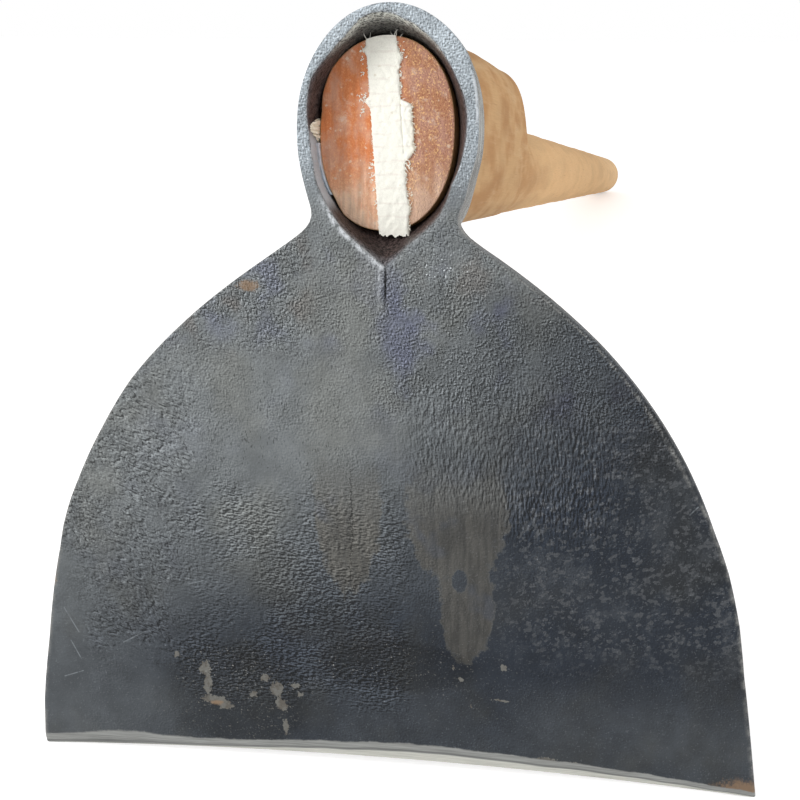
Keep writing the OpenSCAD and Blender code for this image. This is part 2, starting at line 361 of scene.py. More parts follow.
# Where the scale has run and dried in two tongues, where it is worn smooth, and where it has
# flaked off or rusted. Each is a patch of the front face.
drips = [(-11, -80, 10, 30), (21.5, -80, 15, 26), (25, -112, 8, 19)]
drip_hole = [(22.7, -104.5, 4.0, 6.0)]
cracks = [((-10, -71), (-9.4, -88)), ((-9.4, -88), (-10.6, -106)), ((0.4, -10), (0.2, -20))]
worn_smooth = [(-51, -116, 14.5, 15), (-33, -72, 9, 12), (-103, -132, 9, 34), (33, -128, 13, 9), (1, -113, 8, 10)]
chips = [
    (-57, -139, 1.6, 2.6), (-56.5, -144, 1.3, 3.5), (-55, -150, 4.2, 1.3), (-51, -151.5, 2.6, 1.6),
    (-38, -141, 1.5, 1.3), (-34.5, -144.5, 1.9, 2.6), (-33, -150, 1.7, 2.6), (-32, -158, 0.8, 3.4),
    (-66, -135, 0.9, 1.2), (49, -163.5, 3.2, 1.5), (58, -164.5, 2.8, 1.5), (21, -133, 0.7, 0.9),
    (23, -137, 0.8, 0.8), (-27, -146, 1.0, 0.8), (36, -132, 1.2, 0.9), (36, -143, 3.4, 0.35),
    (26, -146, 0.7, 0.7), (-42, -147, 1.4, 1.1), (-28.5, -143, 1.6, 0.7),
]
rust = [(-40, -17.5, 3, 1.6), (29, -127, 0.6, 0.5), (109.5, -169, 8.5, 4), (-104, -98, 1.2, 12), (-54, -151, 2, 0.8)]
scratches = [
    ((-101.5, -120.5), (-97.3, -128.5)), ((-100.1, -131.5), (-97.3, -137.6)), ((-103.2, -144.1), (-97, -141.8)),
    ((-60.7, -110), (-56.5, -108.8)), ((88.8, -79.5), (91, -77)), ((-83, -131), (-76, -127)),
]


def hammered(x, h, worn):
    """The hammered skin in millimetres: long swells, upright ripples on the right, wrinkles that
    fall to the right on the left, and a peel all over that is worn away in places."""
    slanted = window(x, -120, -50, 26) * window(h, -138, -38, 24)
    slant = math.radians(-34)
    across = x * math.cos(slant) + h * math.sin(slant)
    down = h * math.cos(slant) - x * math.sin(slant)
    swell = 0.25 * waves(x, h, 62, 75, 11) + 0.09 * waves(x, h, 22, 26, 15)
    upright = 0.06 * waves(x, h, 5, 16, 12) * (1 - 0.7 * slanted)
    wrinkle = 0.13 * waves(across, down, 12, 4.5, 13) * slanted
    peel = 0.03 * waves(x, h, 4.5, 5, 14)
    return swell * ease((12 - h) / 30) + (upright + wrinkle + peel) * (1 - 0.8 * worn)


def skin_marks(x, h):
    """What the front face's scale is like at x across and h above the neck. Its paleness holds painted
    light and shade: it falls from the upper left to the lower right as the light does, and on the rim
    it is paler at the top. Each kind of wrinkle has its own stretch of the face."""
    # Painted light and shade: paler to the upper left and darker to the lower right, with patches of the scale's own.
    tone_and_painted_light = (1 - ease((2.53 * x - h + 19) / 312)) * (1 - ease((0.17 * x - h - 46) / 92))
    tone_and_painted_light += 0.27 * bump(x, -103, 30) * ease((-90 - h) / 40) + 0.12 * ease((-128 - h) / 38)
    tone_and_painted_light += 0.04 * waves(x, h, 34, 40, 51) + 0.08 * bump(x, -8, 14) * bump(h, -60, 12)
    tone_and_painted_light += 0.10 * bump(x, 84, 26) * bump(h, -150, 14) + 0.16 * bump(x, -69, 11) * bump(h, -151, 7)
    tone_and_painted_light += 0.05 * ease((-120 - h) / 25) + 0.12 * bump(h, -8, 10) * (0.5 + 1.2 * ease((x + 20) / 30))
    tone_and_painted_light -= 0.10 * ease((x - 88) / 14) * window(h, -118, -58, 16)
    tone_and_painted_light -= 0.07 * window(x, 8, 62, 12) * window(h, -92, -54, 10) - 0.06 * bump(x, 18, 16) * bump(h, -114, 12)
    # Painted light on the rim: paler towards its top, and a little darker low on the right.
    rim_tone_and_painted_light = 0.90 + 0.19 * ease((h - 30) / 25) - 0.04 * ease(x / 20) * ease((54 - h) / 14)
    tone_and_painted_light = mix(tone_and_painted_light, rim_tone_and_painted_light, ease((h - 6) / 18))
    worn = ease(1.5 * patch(x, h, worn_smooth) + 0.5)
    rough = 1 - 0.85 * worn
    left = window(x, -130, -56, 20)
    upright = window(x, 8, 66, 16) * window(h, -82, -42, 16) + 0.45 * window(x, 34, 64, 8) * window(h, -92, -76, 8)
    grit = 0.5 + 1.4 * ease((h + 52) / 26) + 2.3 * window(x, 2, 112, 20) * window(h, -64, -16, 14)
    grit += 0.8 * window(x, -110, 20, 24) * window(h, -122, -44, 24)
    grit *= 1 - 0.5 * window(x, 48, 125, 14) * window(h, -175, -96, 16)
    dashes = window(x, -64, -8, 14) * window(h, -76, -32, 12)
    pebbled = window(x, 0, 96, 16) * window(h, -54, -14, 14) + 0.5 * window(x, -80, 0, 20) * window(h, -34, 4, 10)
    cracked = window(x, -88, -22, 12) * window(h, -36, 2, 12) + 0.7 * window(x, -4, 50, 10) * window(h, -19, 4, 8)
    return {
        "tone_and_painted_light": tone_and_painted_light,
        "upright": upright * rough,
        "grit": grit * (0.35 + 0.65 * rough),
        "dashes": dashes,
        "slanted": left * window(h, -136, -42, 22) * rough,
        "level": window(x, -64, 6, 12) * window(h, -148, -78, 12) * (0.3 + 0.7 * rough),
        "pebbled": (pebbled + 0.15) * rough * (1 - 0.6 * ease((-136 - h) / 16)),
        "cracked": cracked,
        "mottled": window(x, 36, 118, 18) * window(h, -128, -50, 22),
        "sparkle": bump(x, 17, 9) * bump(h, -11, 4),
        "drip": np.minimum(patch(x, h, drips), 0.4 - patch(x, h, drip_hole)),
        "faded": ease((-62 - h) / 30),
        "chip": patch(x, h, chips),
        "pitted": ease(2 * patch(x, h, [(-47, -148, 24, 20), (3, -134, 26, 9)]) + 0.4),
        "rust": patch(x, h, rust),
        "speck": 0.12 + 0.88 * window(x, -60, 45, 30) * window(h, -152, -98, 18),
    }


def facet_height(x):
    """Height of the second, pale facet: it lies right of the middle and runs out to the sides."""
    return np.maximum(3.4 * bump(x, 14, 48) + 1.1 * bump(x, 75, 30) + 0.2 * waves(x, 0 * x, 15, 15, 21), 0.05)


def strip_height(x):
    """Height of the ground strip above the facet: taller on the left, where it reaches up in a
    shallow bow, with a ragged upper border."""
    return 3.5 - 0.008 * x + 1.7 * bump(x, -86, 15) + 0.12 * waves(x, 0 * x, 9, 9, 22)


def head_half(side):
    """Points and masks of one half of the head: the right one for 1, and the left one for -1.
    Every point is x across, h along the front face and a depth d behind it."""
    inner = strayed(drawn_in, mouth_stray[side])
    outer = strayed(drawn_out, rim_stray[side])
    outer[:, 0] += np.interp(outer[:, 1], *side_stray[side])
    foot = strayed(drawn_foot, rim_stray[side], 0.6)

    # Across the front: the rounded lip and side, the ground strip, and the hammered skin.
    length = np.linalg.norm(outer - inner, axis=1)
    w = spread(length)
    x = mix(inner[:, :1], outer[:, :1], w)
    h = arched(x, mix(inner[:, 1:], outer[:, 1:], w), outer[:, :1])
    from_side = (1 - w) * length[:, None]
    from_mouth = np.where(on_blade, np.hypot(x, h - notch_z), w * length[:, None])
    last_row = ease((to_edge - 0.2) / 1.5)
    hewn = 1.6 * (side > 0) * window(outer[:, 1:], -75, -4, 16)
    side_round = np.minimum(front_round + hewn, 0.35 * blade_t(-outer[:, 1:])) * last_row
    edge_h = edge_arch * (1 - (2 * x / blade_w) ** 2) - blade_l
    over_edge = np.maximum(h - edge_h, 0)
    facet_h, strip_h = facet_height(side * x), strip_height(side * x)
    facet_top = np.maximum(bevel_cut - 0.36 * facet_h, 0.3)
    strip_share = (over_edge - facet_h) / strip_h
    on_facet = mix(bevel_cut, facet_top, over_edge / facet_h)
    cut = np.where(strip_share < 0, on_facet, facet_top * np.clip(1 - strip_share, 0, 1) ** 1.5)
    ground = ease((facet_h + strip_h - over_edge) / 0.6)
    marks = skin_marks(side * x, h)
    worn = ease(1.5 * patch(side * x, h, worn_smooth) + 0.5)
    skin = hammered(side * x, h, worn) * (1 - ground) * ease(from_side / 3)
    skin *= mix(0.25, 1, ease(from_mouth / 6))
    under_notch = ease((notch_z - h) / 1.5) * ease((h - notch_z + 16) / 10)
    crease = bump(side * x, 0.3, 0.28) * under_notch
    ridge = bump(side * x, -1.6, 0.4) * under_notch
    d = round_over(from_side, side_round) + round_over(from_mouth, mouth_round) + cut + skin
    d += 0.4 * crease - 0.2 * ridge
    front = forged(side * x, h, d)

    # Across the back, from the outline to the foot of the boss, with a fillet up against it.
    back_w = 1 - w[:, ::-2]
    back_length = np.maximum(np.linalg.norm(foot - outer, axis=1), 0.02)[:, None]
    bx = mix(outer[:, :1], foot[:, :1], back_w)
    bh = arched(bx, mix(outer[:, 1:], foot[:, 1:], back_w), outer[:, :1])
    from_outline = back_w * back_length
    eye_share = np.hypot(bx / eye_half, (bh - eye_z) / (eye_z - eye_low))
    from_boss = np.maximum(1 - 1 / np.maximum(eye_share, 1), 0) * np.hypot(bx, bh - eye_z)
    from_boss += 0.02 * (1 - back_w)
    rise = round_over(from_boss / np.minimum(from_boss[:, :1], fillet) * fillet, fillet)
    side_fall = round_over(from_outline, np.minimum(back_round, 0.3 * back_length) * last_row)
    back_skin = 0.22 * waves(side * bx, bh, 45, 50, 31) + 0.06 * waves(side * bx, bh, 9, 12, 32)
    bd = blade_t(-bh) + rise - side_fall + back_skin * last_row * ease(from_outline / 4)
    draft = eye_draft * bd * mix(ease((outer[:, 1:] + 2) / 12), 1, back_w) * (1 - ease(from_boss / 12))
    bx, bh = drafted(bx, bh, draft)
    back = forged(side * bx, bh, bd)

    # Round the side, and straight back up the boss from its foot to its rounded rear rim.
    k = np.arange(1, side_n + 1)[None, :, None] / (side_n + 1)
    wall = mix(front[:, -1:], back[:, :1], k)
    slant = (eye_depth_low - eye_depth_top) / (eye_top - eye_low)
    rear_y = eye_depth_top + slant * (eye_top - foot[:, 1:])
    a = np.arange(1, rear_round_n + 1) / rear_round_n * math.pi / 2
    lip = bd[:, -1:] + lip_depth * np.array([0.3, 0.6, 0.8, 1])
    deep = mix(lip[:, -1:], rear_y - rear_round, np.arange(1, boss_n - 3) / (boss_n - 4))
    deep = np.concatenate([lip, deep, rear_y + rear_round * (np.sin(a) - 1)], axis=1)
    inset = np.concatenate([np.zeros(boss_n), rear_round * (1 - np.cos(a))])
    over_neck = ease((foot[:, 1:] - 2) / 8)
    inset = inset + lip_step * over_neck * ease((deep - bd[:, -1:]) / lip_depth * 2.5 - 1.2)
    fx, fh = drafted(foot[:, :1], foot[:, 1:], eye_draft * deep + inset)
    boss = forged(side * fx, fh, 0 * fx)
    boss[..., 1] = deep

    # Across the rear face to the throat, and forward through the bore to the mouth.
    angle = along(mouth_line, ring_in)[:, 2]
    angle = np.concatenate([angle, np.full(len(fallen), angle[-1])])[:, None]
    ox, oz = oval(angle, tenon_power)
    throat_x = handle_x + side * ox * (tenon_w / 2 + (shim_t if side < 0 else 0))
    throat_z = tenon_z + oz * tenon_h / 2
    throat = np.stack([throat_x, rear_y, throat_z], axis=-1)
    k = np.arange(1, rear_n + 1)[None, :, None] / rear_n
    rear = mix(boss[:, -1:], throat, k)
    k = np.arange(1, bore_n + 1) / (bore_n + 1)
    bore_y = rear_y * (1 - k)
    flare = np.clip(1 - bore_y / mouth_depth, 0, 1)
    bore_x = mix(throat_x, side * inner[:, :1], flare)
    bore_z = mix(throat_z, inner[:, 1:], flare)
    crown = ease((bore_z - tenon_z - 18) / 12)
    push = (0.16 + 0.25 * crown) * waves(bore_x + bore_y, bore_z, 3, 3, 41) * ease(bore_y / 2) * flare
    push /= np.hypot(bore_x, bore_z - tenon_z) + 0.001
    bore = np.stack([bore_x * (1 + push), bore_y, bore_z + (bore_z - tenon_z) * push], axis=-1)

    points = np.concatenate([front, wall, back, boss, rear, bore], axis=1)
    shape = points.shape[:2]
    others = ("strip", "ring", "bore", "depth", "crown", "painted_light", "collar", "seam", "worn", "painted_glint", "notch")
    masks = {name: np.zeros(shape) for name in (*marks, *others)}
    front_face = (slice(None), slice(0, front_n + 1))
    for name, mark in marks.items():
        masks[name][front_face] = np.clip(mark, -1, 1.5)
    behind = (slice(None), slice(front_n + 1, None))
    masks["tone_and_painted_light"][behind] = 0.45
    masks["pebbled"][behind] = 0.8
    masks["speck"][behind] = 0.3
    masks["grit"][behind] = 1.2
    for name in ("drip", "chip", "rust"):
        masks[name][behind] = -1
    masks["strip"][behind] = 3
    masks["strip"][front_face] = np.clip(strip_share, -1, 3)
    masks["ring"][front_face] = ease((h - 3) / 22)
    masks["bore"][:, -bore_n:] = 1
    # Painted shade: the bore darkens with depth behind the mouth.
    masks["depth"][:, -bore_n:] = ease(bore_y / 11)
    masks["crown"][:, -bore_n:] = crown
    # Painted light: a pale patch on the bore's left wall in front of the shim.
    if side < 0:
        masks["painted_light"][:, -bore_n:] = window(bore_z, 6, 26, 5) * ease((13 - bore_y) / 2)
    on_ring = np.arange(rows + 1) <= ring_rows
    masks["bore"][on_ring, 0] = 0.3
    collar = ease((foot[:, 1:] + 4) / 8) * on_ring[:, None]
    masks["collar"][:, front_n + 2:-bore_n] = collar
    boss_c = front_n + 1 + side_n + back_n + 1
    # Painted shade: a dark line in the step between the front face and the collar.
    masks["seam"][:, boss_c:boss_c + deep.shape[1]] = bump(deep - bd[:, -1:], 0.75 * lip_depth, 0.45) * over_neck
    masks["worn"][front_face] = bump(from_side, 0.3 + hewn, 0.5) * (1 - on_ring[:, None] * ease((h + 5) / 10))
    # Painted highlight: a pale line along the right rim's outer edge.
    right_rim = window(h, 30, 43, 5) if side > 0 else 0
    masks["painted_glint"][front_face] = bump(from_side, 0.4, 0.35) * right_rim
    # Painted highlight: a pale speckled line on the notch's lip, mostly on the left side, where it catches the light.
    left_lip = 1 if side < 0 else 0.15
    masks["notch"][front_face] = bump(from_mouth, 0.6, 1.0) * window(h, -13, 7, 6) * left_lip
    # Painted shade in the crease under the notch.
    masks["seam"][front_face] = crease
    # Painted highlight along the ridge under the notch.
    masks["painted_glint"][front_face] += 0.35 * ridge
    return points.reshape(-1, 3), {name: mask.reshape(-1) for name, mask in masks.items()}


def head_faces():
    """Quads between neighbouring rows and columns of both halves, and the faces that close the
    cutting edge. The halves share the crown row, the centre of the blade's front and back, and
    the row at the notch from the boss's foot on."""
    foot_c = front_n + 1 + side_n + back_n
    columns = foot_c + 1 + boss_n + rear_round_n + rear_n + bore_n
    right_half = np.arange((rows + 1) * columns).reshape(rows + 1, columns)
    left_half = right_half + right_half.size
    left_half[0] = right_half[0]
    left_half[ring_rows:, 0] = right_half[ring_rows:, 0]
    left_half[ring_rows:, foot_c] = right_half[ring_rows:, foot_c]
    left_half[ring_rows, foot_c:] = right_half[ring_rows, foot_c:]
    quads, closing = [], []
    for half in (right_half, left_half):
        ring = np.concatenate([half[:ring_rows + 1], half[:ring_rows + 1, :1]], axis=1)
        for part in (ring, half[ring_rows:, :foot_c + 1]):
            corners = [part[:-1, :-1], part[1:, :-1], part[1:, 1:], part[:-1, 1:]]
            quads.append(np.stack(corners, axis=-1).reshape(-1, 4))
        front, back = half[rows, :front_n + 1], half[rows, front_n + 1 + side_n:foot_c + 1]
        closing.append(half[rows, front_n - 2:front_n + side_n + 3].tolist())
        closing += [
            [*front[front_n - 2 * j - 2:front_n - 2 * j + 1].tolist(), *back[j:j + 2].tolist()]
            for j in range(1, back_n)
        ]
    return np.concatenate(quads), closing


def mesh_piece(name, points, faces, attributes=None, sharp=38):
    """A mesh piece from points in the hoe's frame. Points that no face uses are dropped, the
    faces turned outwards, and creases sharper than an angle kept."""
    flat = np.concatenate([np.ravel(face) for face in faces])
    used = np.zeros(len(points), dtype=bool)
    used[flat] = True
    number = np.cumsum(used) - 1
    mesh = bpy.data.meshes.new(name)
    corners = []
    for face in faces:
        corners += number[np.atleast_2d(face)].tolist()
    mesh.from_pydata(on_ground(points[used]), [], corners)
    for key, values in (attributes or {}).items():
        layer = mesh.attributes.new(key, "FLOAT", "POINT")
        layer.data.foreach_set("value", np.ascontiguousarray(values[used], dtype=np.float32))
    form = bmesh.new()
    form.from_mesh(mesh)
    bmesh.ops.recalc_face_normals(form, faces=form.faces)
    form.to_mesh(mesh)
    form.free()
    mesh.shade_smooth()
    mesh.set_sharp_from_angle(angle=math.radians(sharp))
    piece = bpy.data.objects.new(name, mesh)
    bpy.context.scene.collection.objects.link(piece)
    return piece


right_points, right_masks = head_half(1)
left_points, left_masks = head_half(-1)
quads, closing = head_faces()
head = mesh_piece(
    "forged_head",
    np.concatenate([right_points, left_points]),
    [quads, *closing],
    {name: np.concatenate([mask, left_masks[name]]) for name, mask in right_masks.items()},
)


def put(tree, kind, inputs=None, **settings):
    """Adds a node. Each input is a value, or an output of another node to be linked."""
    node = tree.nodes.new("ShaderNode" + kind)
    for name, value in settings.items():
        setattr(node, name, value)
    for name, value in (inputs or {}).items():
        if isinstance(value, bpy.types.NodeSocket):
            tree.links.new(value, node.inputs[name])
        else:
            node.inputs[name].default_value = value
    return node


def blended(tree, share, first, second):
    """A colour between two colours. Each argument is a value, or an output to be linked."""
    node = put(tree, "Mix", data_type="RGBA")
    for socket, value in zip((node.inputs[0], node.inputs[6], node.inputs[7]), (share, first, second)):
        if isinstance(value, bpy.types.NodeSocket):
            tree.links.new(value, socket)
        elif socket.type == "RGBA":
            socket.default_value = (*value, 1)
        else:
            socket.default_value = value
    return node.outputs[2]


def math_of(tree, operation, *values):
    """A sum, product or other mathematical node of values and outputs."""
    return put(tree, "Math", dict(enumerate(values)), operation=operation).outputs[0]


def ramp(tree, value, low, high, start=0, end=1):
    """A value led smoothly from start to end while the input goes from low to high."""
    inputs = {"Value": value, "From Min": low, "From Max": high, "To Min": start, "To Max": end}
    return put(tree, "MapRange", inputs, interpolation_type="SMOOTHSTEP").outputs[0]


def hoe_frame(tree):
    """Object coordinates led back into the hoe's own frame, in millimetres."""
    where = put(tree, "TexCoord").outputs["Object"]
    shift_y = middle * math.cos(tilt) + lift * math.sin(tilt)
    shift_z = middle * math.sin(tilt) - lift * math.cos(tilt)
    back = {"Vector": where, "Scale": (1 / mm, 1 / mm, 1 / mm), "Rotation": (tilt, 0, 0)}
    return put(tree, "Mapping", {**back, "Location": (0, shift_y, shift_z)}).outputs[0]


def stretched(tree, where, lengths, turn=0):
    """Coordinates turned about Y and then divided by a length along each axis."""
    turned = put(tree, "Mapping", {"Vector": where, "Rotation": (0, turn, 0)}).outputs[0]
    return put(tree, "Mapping", {"Vector": turned, "Scale": [1 / length for length in lengths]}).outputs[0]


def noise(tree, where, scale=1, detail=3, roughness=0.5):
    """A soft random value between 0 and 1, whose features are about 1 / scale apart."""
    inputs = {"Vector": where, "Scale": scale, "Detail": detail, "Roughness": roughness}
    return put(tree, "TexNoise", inputs).outputs["Fac"]


def mask_of(tree, name):
    """A mask that the mesh holds at its points."""
    return put(tree, "Attribute", attribute_name=name).outputs["Fac"]


def new_material(name):
    """An empty material: its node tree and its surface shader."""
    material = bpy.data.materials.new(name)
    material.use_nodes = True
    return material, material.node_tree, material.node_tree.nodes["Principled BSDF"]


def new_group(name, inputs, outputs):
    """An empty shader node group: itself, its inputs and its output node. Each input is a name, a
    kind of socket and its first value."""
    group = bpy.data.node_groups.new(name, "ShaderNodeTree")
    for label, kind, value in inputs:
        socket = group.interface.new_socket(label, in_out="INPUT", socket_type="NodeSocket" + kind)
        if value is not None:
            socket.default_value = value
    for label in outputs:
        group.interface.new_socket(label, in_out="OUTPUT", socket_type="NodeSocketFloat")
    return group, group.nodes.new("NodeGroupInput").outputs, group.nodes.new("NodeGroupOutput").inputs


def make_specks():
    """Group: scattered specks with ragged borders. One cell in every spacing holds a speck of
    random size, and Amount is the share of the cells that have one."""
    sockets = [("Vector", "Vector", None), ("Spacing", "Float", 2.0), ("Amount", "Float", 0.3)]
    tree, given, made = new_group("specks", sockets, ["Mask"])
    pace = math_of(tree, "DIVIDE", 1.0, given["Spacing"])
    ragged = put(tree, "TexNoise", {"Vector": given["Vector"], "Scale": 1.6, "Detail": 3}).outputs["Color"]
    strayed = put(tree, "VectorMath", {0: ragged, 1: (0.9, 0.9, 0.9), 2: given["Vector"]}, operation="MULTIPLY_ADD")
    cells = put(tree, "TexVoronoi", {"Vector": strayed.outputs[0], "Scale": pace})
    chance = put(tree, "SeparateXYZ", {0: cells.outputs["Color"]}).outputs[0]
    rare = math_of(tree, "SUBTRACT", 1.0, given["Amount"])
    size = put(tree, "MapRange", {"Value": chance, "From Min": rare, "To Max": 0.42}).outputs[0]
    over = math_of(tree, "SUBTRACT", size, cells.outputs["Distance"])
    tree.links.new(ramp(tree, over, 0, 0.1), made["Mask"])
    return tree


specks = make_specks()


def speckled(tree, where, spacing, amount):
    """The mask of the specks group, placed in a material."""
    inputs = {"Vector": where, "Spacing": spacing, "Amount": amount}
    return put(tree, "Group", inputs, node_tree=specks).outputs["Mask"]


def ragged_patch(tree, name, unrest, soft=0.08, stray=0.9):
    """The inside of a patch whose field the mesh holds, with a border that a noise makes ragged."""
    strayed = math_of(tree, "MULTIPLY_ADD", math_of(tree, "SUBTRACT", unrest, 0.5), stray, mask_of(tree, name))
    return ramp(tree, strayed, -soft, soft)


def tinted(tree, colour, factor):
    """A colour made darker or paler by a factor."""
    return put(tree, "VectorMath", {0: colour, "Scale": factor}, operation="SCALE").outputs[0]


def pressed(tree, where, lengths, turn=0, fold=0, detail=2):
    """A stretched relief and its shade. The relief is a noise, or with a fold 1 all over but for
    narrow creases where the noise crosses its middle. The shade is how much lower the relief is a
    short way to the upper left: above 0 on the slopes that face there, and below 0 behind."""
    levels = []
    for step in ((0, 0, 0), (-0.32, 0, 0.32)):
        spot = put(tree, "VectorMath", {0: where, 1: step}).outputs[0]
        level = noise(tree, stretched(tree, spot, lengths, turn), detail=detail)
        if fold:
            level = ramp(tree, math_of(tree, "ABSOLUTE", math_of(tree, "SUBTRACT", level, 0.5)), 0, fold)
        levels.append(level)
    return levels[0], math_of(tree, "SUBTRACT", *levels)


def make_scratch():
    """Group: 1 on a thin line between two points of the face, fading to 0 at its two borders. The
    distance to it is that to the nearest of its points, with the depth left out."""
    sockets = [("Vector", "Vector", None), ("First", "Vector", None), ("Last", "Vector", None)]
    tree, given, made = new_group("scratch_line", sockets, ["Mask"])

    def vector(operation, first, second):
        return put(tree, "VectorMath", {0: first, 1: second}, operation=operation)
    flat = vector("MULTIPLY", given["Vector"], (1, 0, 1)).outputs[0]
    way = vector("SUBTRACT", given["Last"], given["First"]).outputs[0]
    reach_of = vector("SUBTRACT", flat, given["First"]).outputs[0]
    dot = vector("DOT_PRODUCT", reach_of, way).outputs["Value"]
    full = vector("DOT_PRODUCT", way, way).outputs["Value"]
    part = put(tree, "Math", {0: dot, 1: full}, operation="DIVIDE", use_clamp=True).outputs[0]
    nearest = put(tree, "VectorMath", {0: way, "Scale": part}, operation="SCALE").outputs[0]
    gap = vector("DISTANCE", reach_of, nearest).outputs["Value"]
    tree.links.new(ramp(tree, gap, 0.05, 0.28, 1, 0), made["Mask"])
    return tree


scratch_tree = make_scratch()


def scratch_line(tree, where, first, last):
    """The mask of one scratch between two points, each across and above the neck."""
    ends = {"First": (first[0], 0, first[1]), "Last": (last[0], 0, last[1])}
    return put(tree, "Group", {"Vector": where, **ends}, node_tree=scratch_tree).outputs["Mask"]


def finish_steel():
    """Black scale under lacquer over ripples and wrinkles, with painted light and shade: pale grey
    to the upper left and blue-black low down, and painted light and shade on the wrinkles' slopes as
    if lit from the upper left. The rim is coarse and pale, with painted light at its top, the collar
    greyer, the bore dark with painted shade that deepens inwards, and the strip bare."""
    material, tree, surface = new_material("black_forged_steel")
    hoe = hoe_frame(tree)
    broad = noise(tree, stretched(tree, hoe, (24, 24, 30)), detail=4)
    hue = noise(tree, stretched(tree, hoe, (15, 15, 18), 0.4), detail=3)
    blotch = noise(tree, stretched(tree, hoe, (7, 7, 8)), detail=5, roughness=0.6)
    fine = noise(tree, stretched(tree, hoe, (0.8, 0.8, 1.0)), detail=4, roughness=0.65)
    edgy = noise(tree, stretched(tree, hoe, (2.6, 2.6, 3.4)), detail=6, roughness=0.66)
    patchy = ramp(tree, noise(tree, stretched(tree, hoe, (13, 13, 11), 0.3), detail=3), 0.36, 0.54, 0.35, 1.1)
    tone_and_painted_light = mask_of(tree, "tone_and_painted_light")

    drip = math_of(tree, "MULTIPLY", ragged_patch(tree, "drip", edgy, stray=0.65), mask_of(tree, "faded"))
    calm = ramp(tree, drip, 0, 1, 1, 0.55)
    ring = mask_of(tree, "ring")
    # Painted shade: the grain's relief also gives a shade, lighter on slopes that face the upper left, which later
    # tints the colour.
    grain_relief, grain_shade = pressed(tree, hoe, (0.55, 0.55, 0.6))
    uneven = ramp(tree, noise(tree, stretched(tree, hoe, (15, 15, 11), -0.5), detail=4), 0.36, 0.62, 0.45, 1.25)
    grit = math_of(tree, "MULTIPLY", math_of(tree, "MULTIPLY", mask_of(tree, "grit"), calm), uneven)
    coarse = blended(tree, ring, grit, (2.3, 2.3, 2.3))
    height = math_of(tree, "MULTIPLY", grain_relief, math_of(tree, "MULTIPLY", coarse, 0.12))
    shade = math_of(tree, "MULTIPLY", grain_shade, coarse)
    kinds = [
        ("upright", (0.75, 1, 2.2), 0.05, 0, 3.8, 0.5, False),
        ("slanted", (5.0, 1, 1.9), -0.62, 0.10, 0.85, 0.3, True),
        ("slanted", (1.6, 1, 0.8), -0.5, 0, 2.4, 0.25, True),
        ("level", (1.2, 1, 0.62), -0.12, 0, 6.0, 0.45, True),
        ("pebbled", (0.85, 0.9, 1.0), 0.3, 0.17, 0.95, 0.28, True),
        ("cracked", (2.0, 1.7, 1.2), -0.7, 0.055, 0.90, 0.25, True),
    ]
    # Each kind of wrinkle adds relief to the bump, and painted light and shade to the colour.
    for name, lengths, turn, fold, weight, lift_share, gated in kinds:
        relief, painted_light = pressed(tree, hoe, lengths, turn, fold)
        place = math_of(tree, "MULTIPLY", mask_of(tree, name), calm)
        if gated:
            place = math_of(tree, "MULTIPLY", place, patchy)
        shade = math_of(tree, "MULTIPLY_ADD", math_of(tree, "MULTIPLY", painted_light, weight), place, shade)
        height = math_of(tree, "MULTIPLY_ADD", math_of(tree, "MULTIPLY", relief, lift_share), place, height)

    # Painted light and shade: the scale runs from blue-black to pale grey as the mask of painted light and shade rises.
    colour = blended(tree, tone_and_painted_light, (0.018, 0.023, 0.032), (0.156, 0.168, 0.172))
    bluish = math_of(tree, "MULTIPLY", ramp(tree, hue, 0.5, 0.68), mask_of(tree, "pebbled"))
    colour = blended(tree, math_of(tree, "MULTIPLY", bluish, 0.85), colour, tinted(tree, (0.140, 0.152, 0.205), tone_and_painted_light))
    warm = ramp(tree, broad, 0.46, 0.68, 0, 0.5)
    colour = blended(tree, warm, colour, tinted(tree, (0.166, 0.170, 0.156), ramp(tree, tone_and_painted_light, -0.1, 1.1, 0.15, 1.05)))
    colour = tinted(tree, colour, ramp(tree, blotch, 0.3, 0.7, 0.86, 1.14))
    browned = math_of(tree, "MULTIPLY", mask_of(tree, "cracked"), ramp(tree, hue, 0.5, 0.36))
    colour = blended(tree, math_of(tree, "MULTIPLY", browned, 0.6), colour, (0.140, 0.124, 0.112))
    ticks = ramp(tree, noise(tree, stretched(tree, hoe, (0.5, 1, 1.5)), detail=1), 0.63, 0.72)
    colour = tinted(tree, colour, ramp(tree, math_of(tree, "MULTIPLY", ticks, mask_of(tree, "dashes")), 0, 1, 1, 0.5))

    mottle = math_of(tree, "MULTIPLY_ADD", math_of(tree, "SUBTRACT", edgy, 0.5), 1.1, blotch)
    mottled = math_of(tree, "MULTIPLY", ramp(tree, mottle, 0.54, 0.58), mask_of(tree, "mottled"))
    colour = blended(tree, math_of(tree, "MULTIPLY", mottled, 0.26), colour, (0.066, 0.072, 0.079))
    shards = put(tree, "TexVoronoi", {"Vector": stretched(tree, hoe, (6.0, 3, 4.6), 0.4)})
    shard = math_of(tree, "MULTIPLY_ADD", edgy, 1.2, put(tree, "SeparateXYZ", {0: shards.outputs["Color"]}).outputs[0])
    shard = math_of(tree, "MULTIPLY", ramp(tree, shard, 1.40, 1.46), mask_of(tree, "mottled"))
    colour = blended(tree, math_of(tree, "MULTIPLY", shard, 0.55), colour, (0.085, 0.09, 0.097))
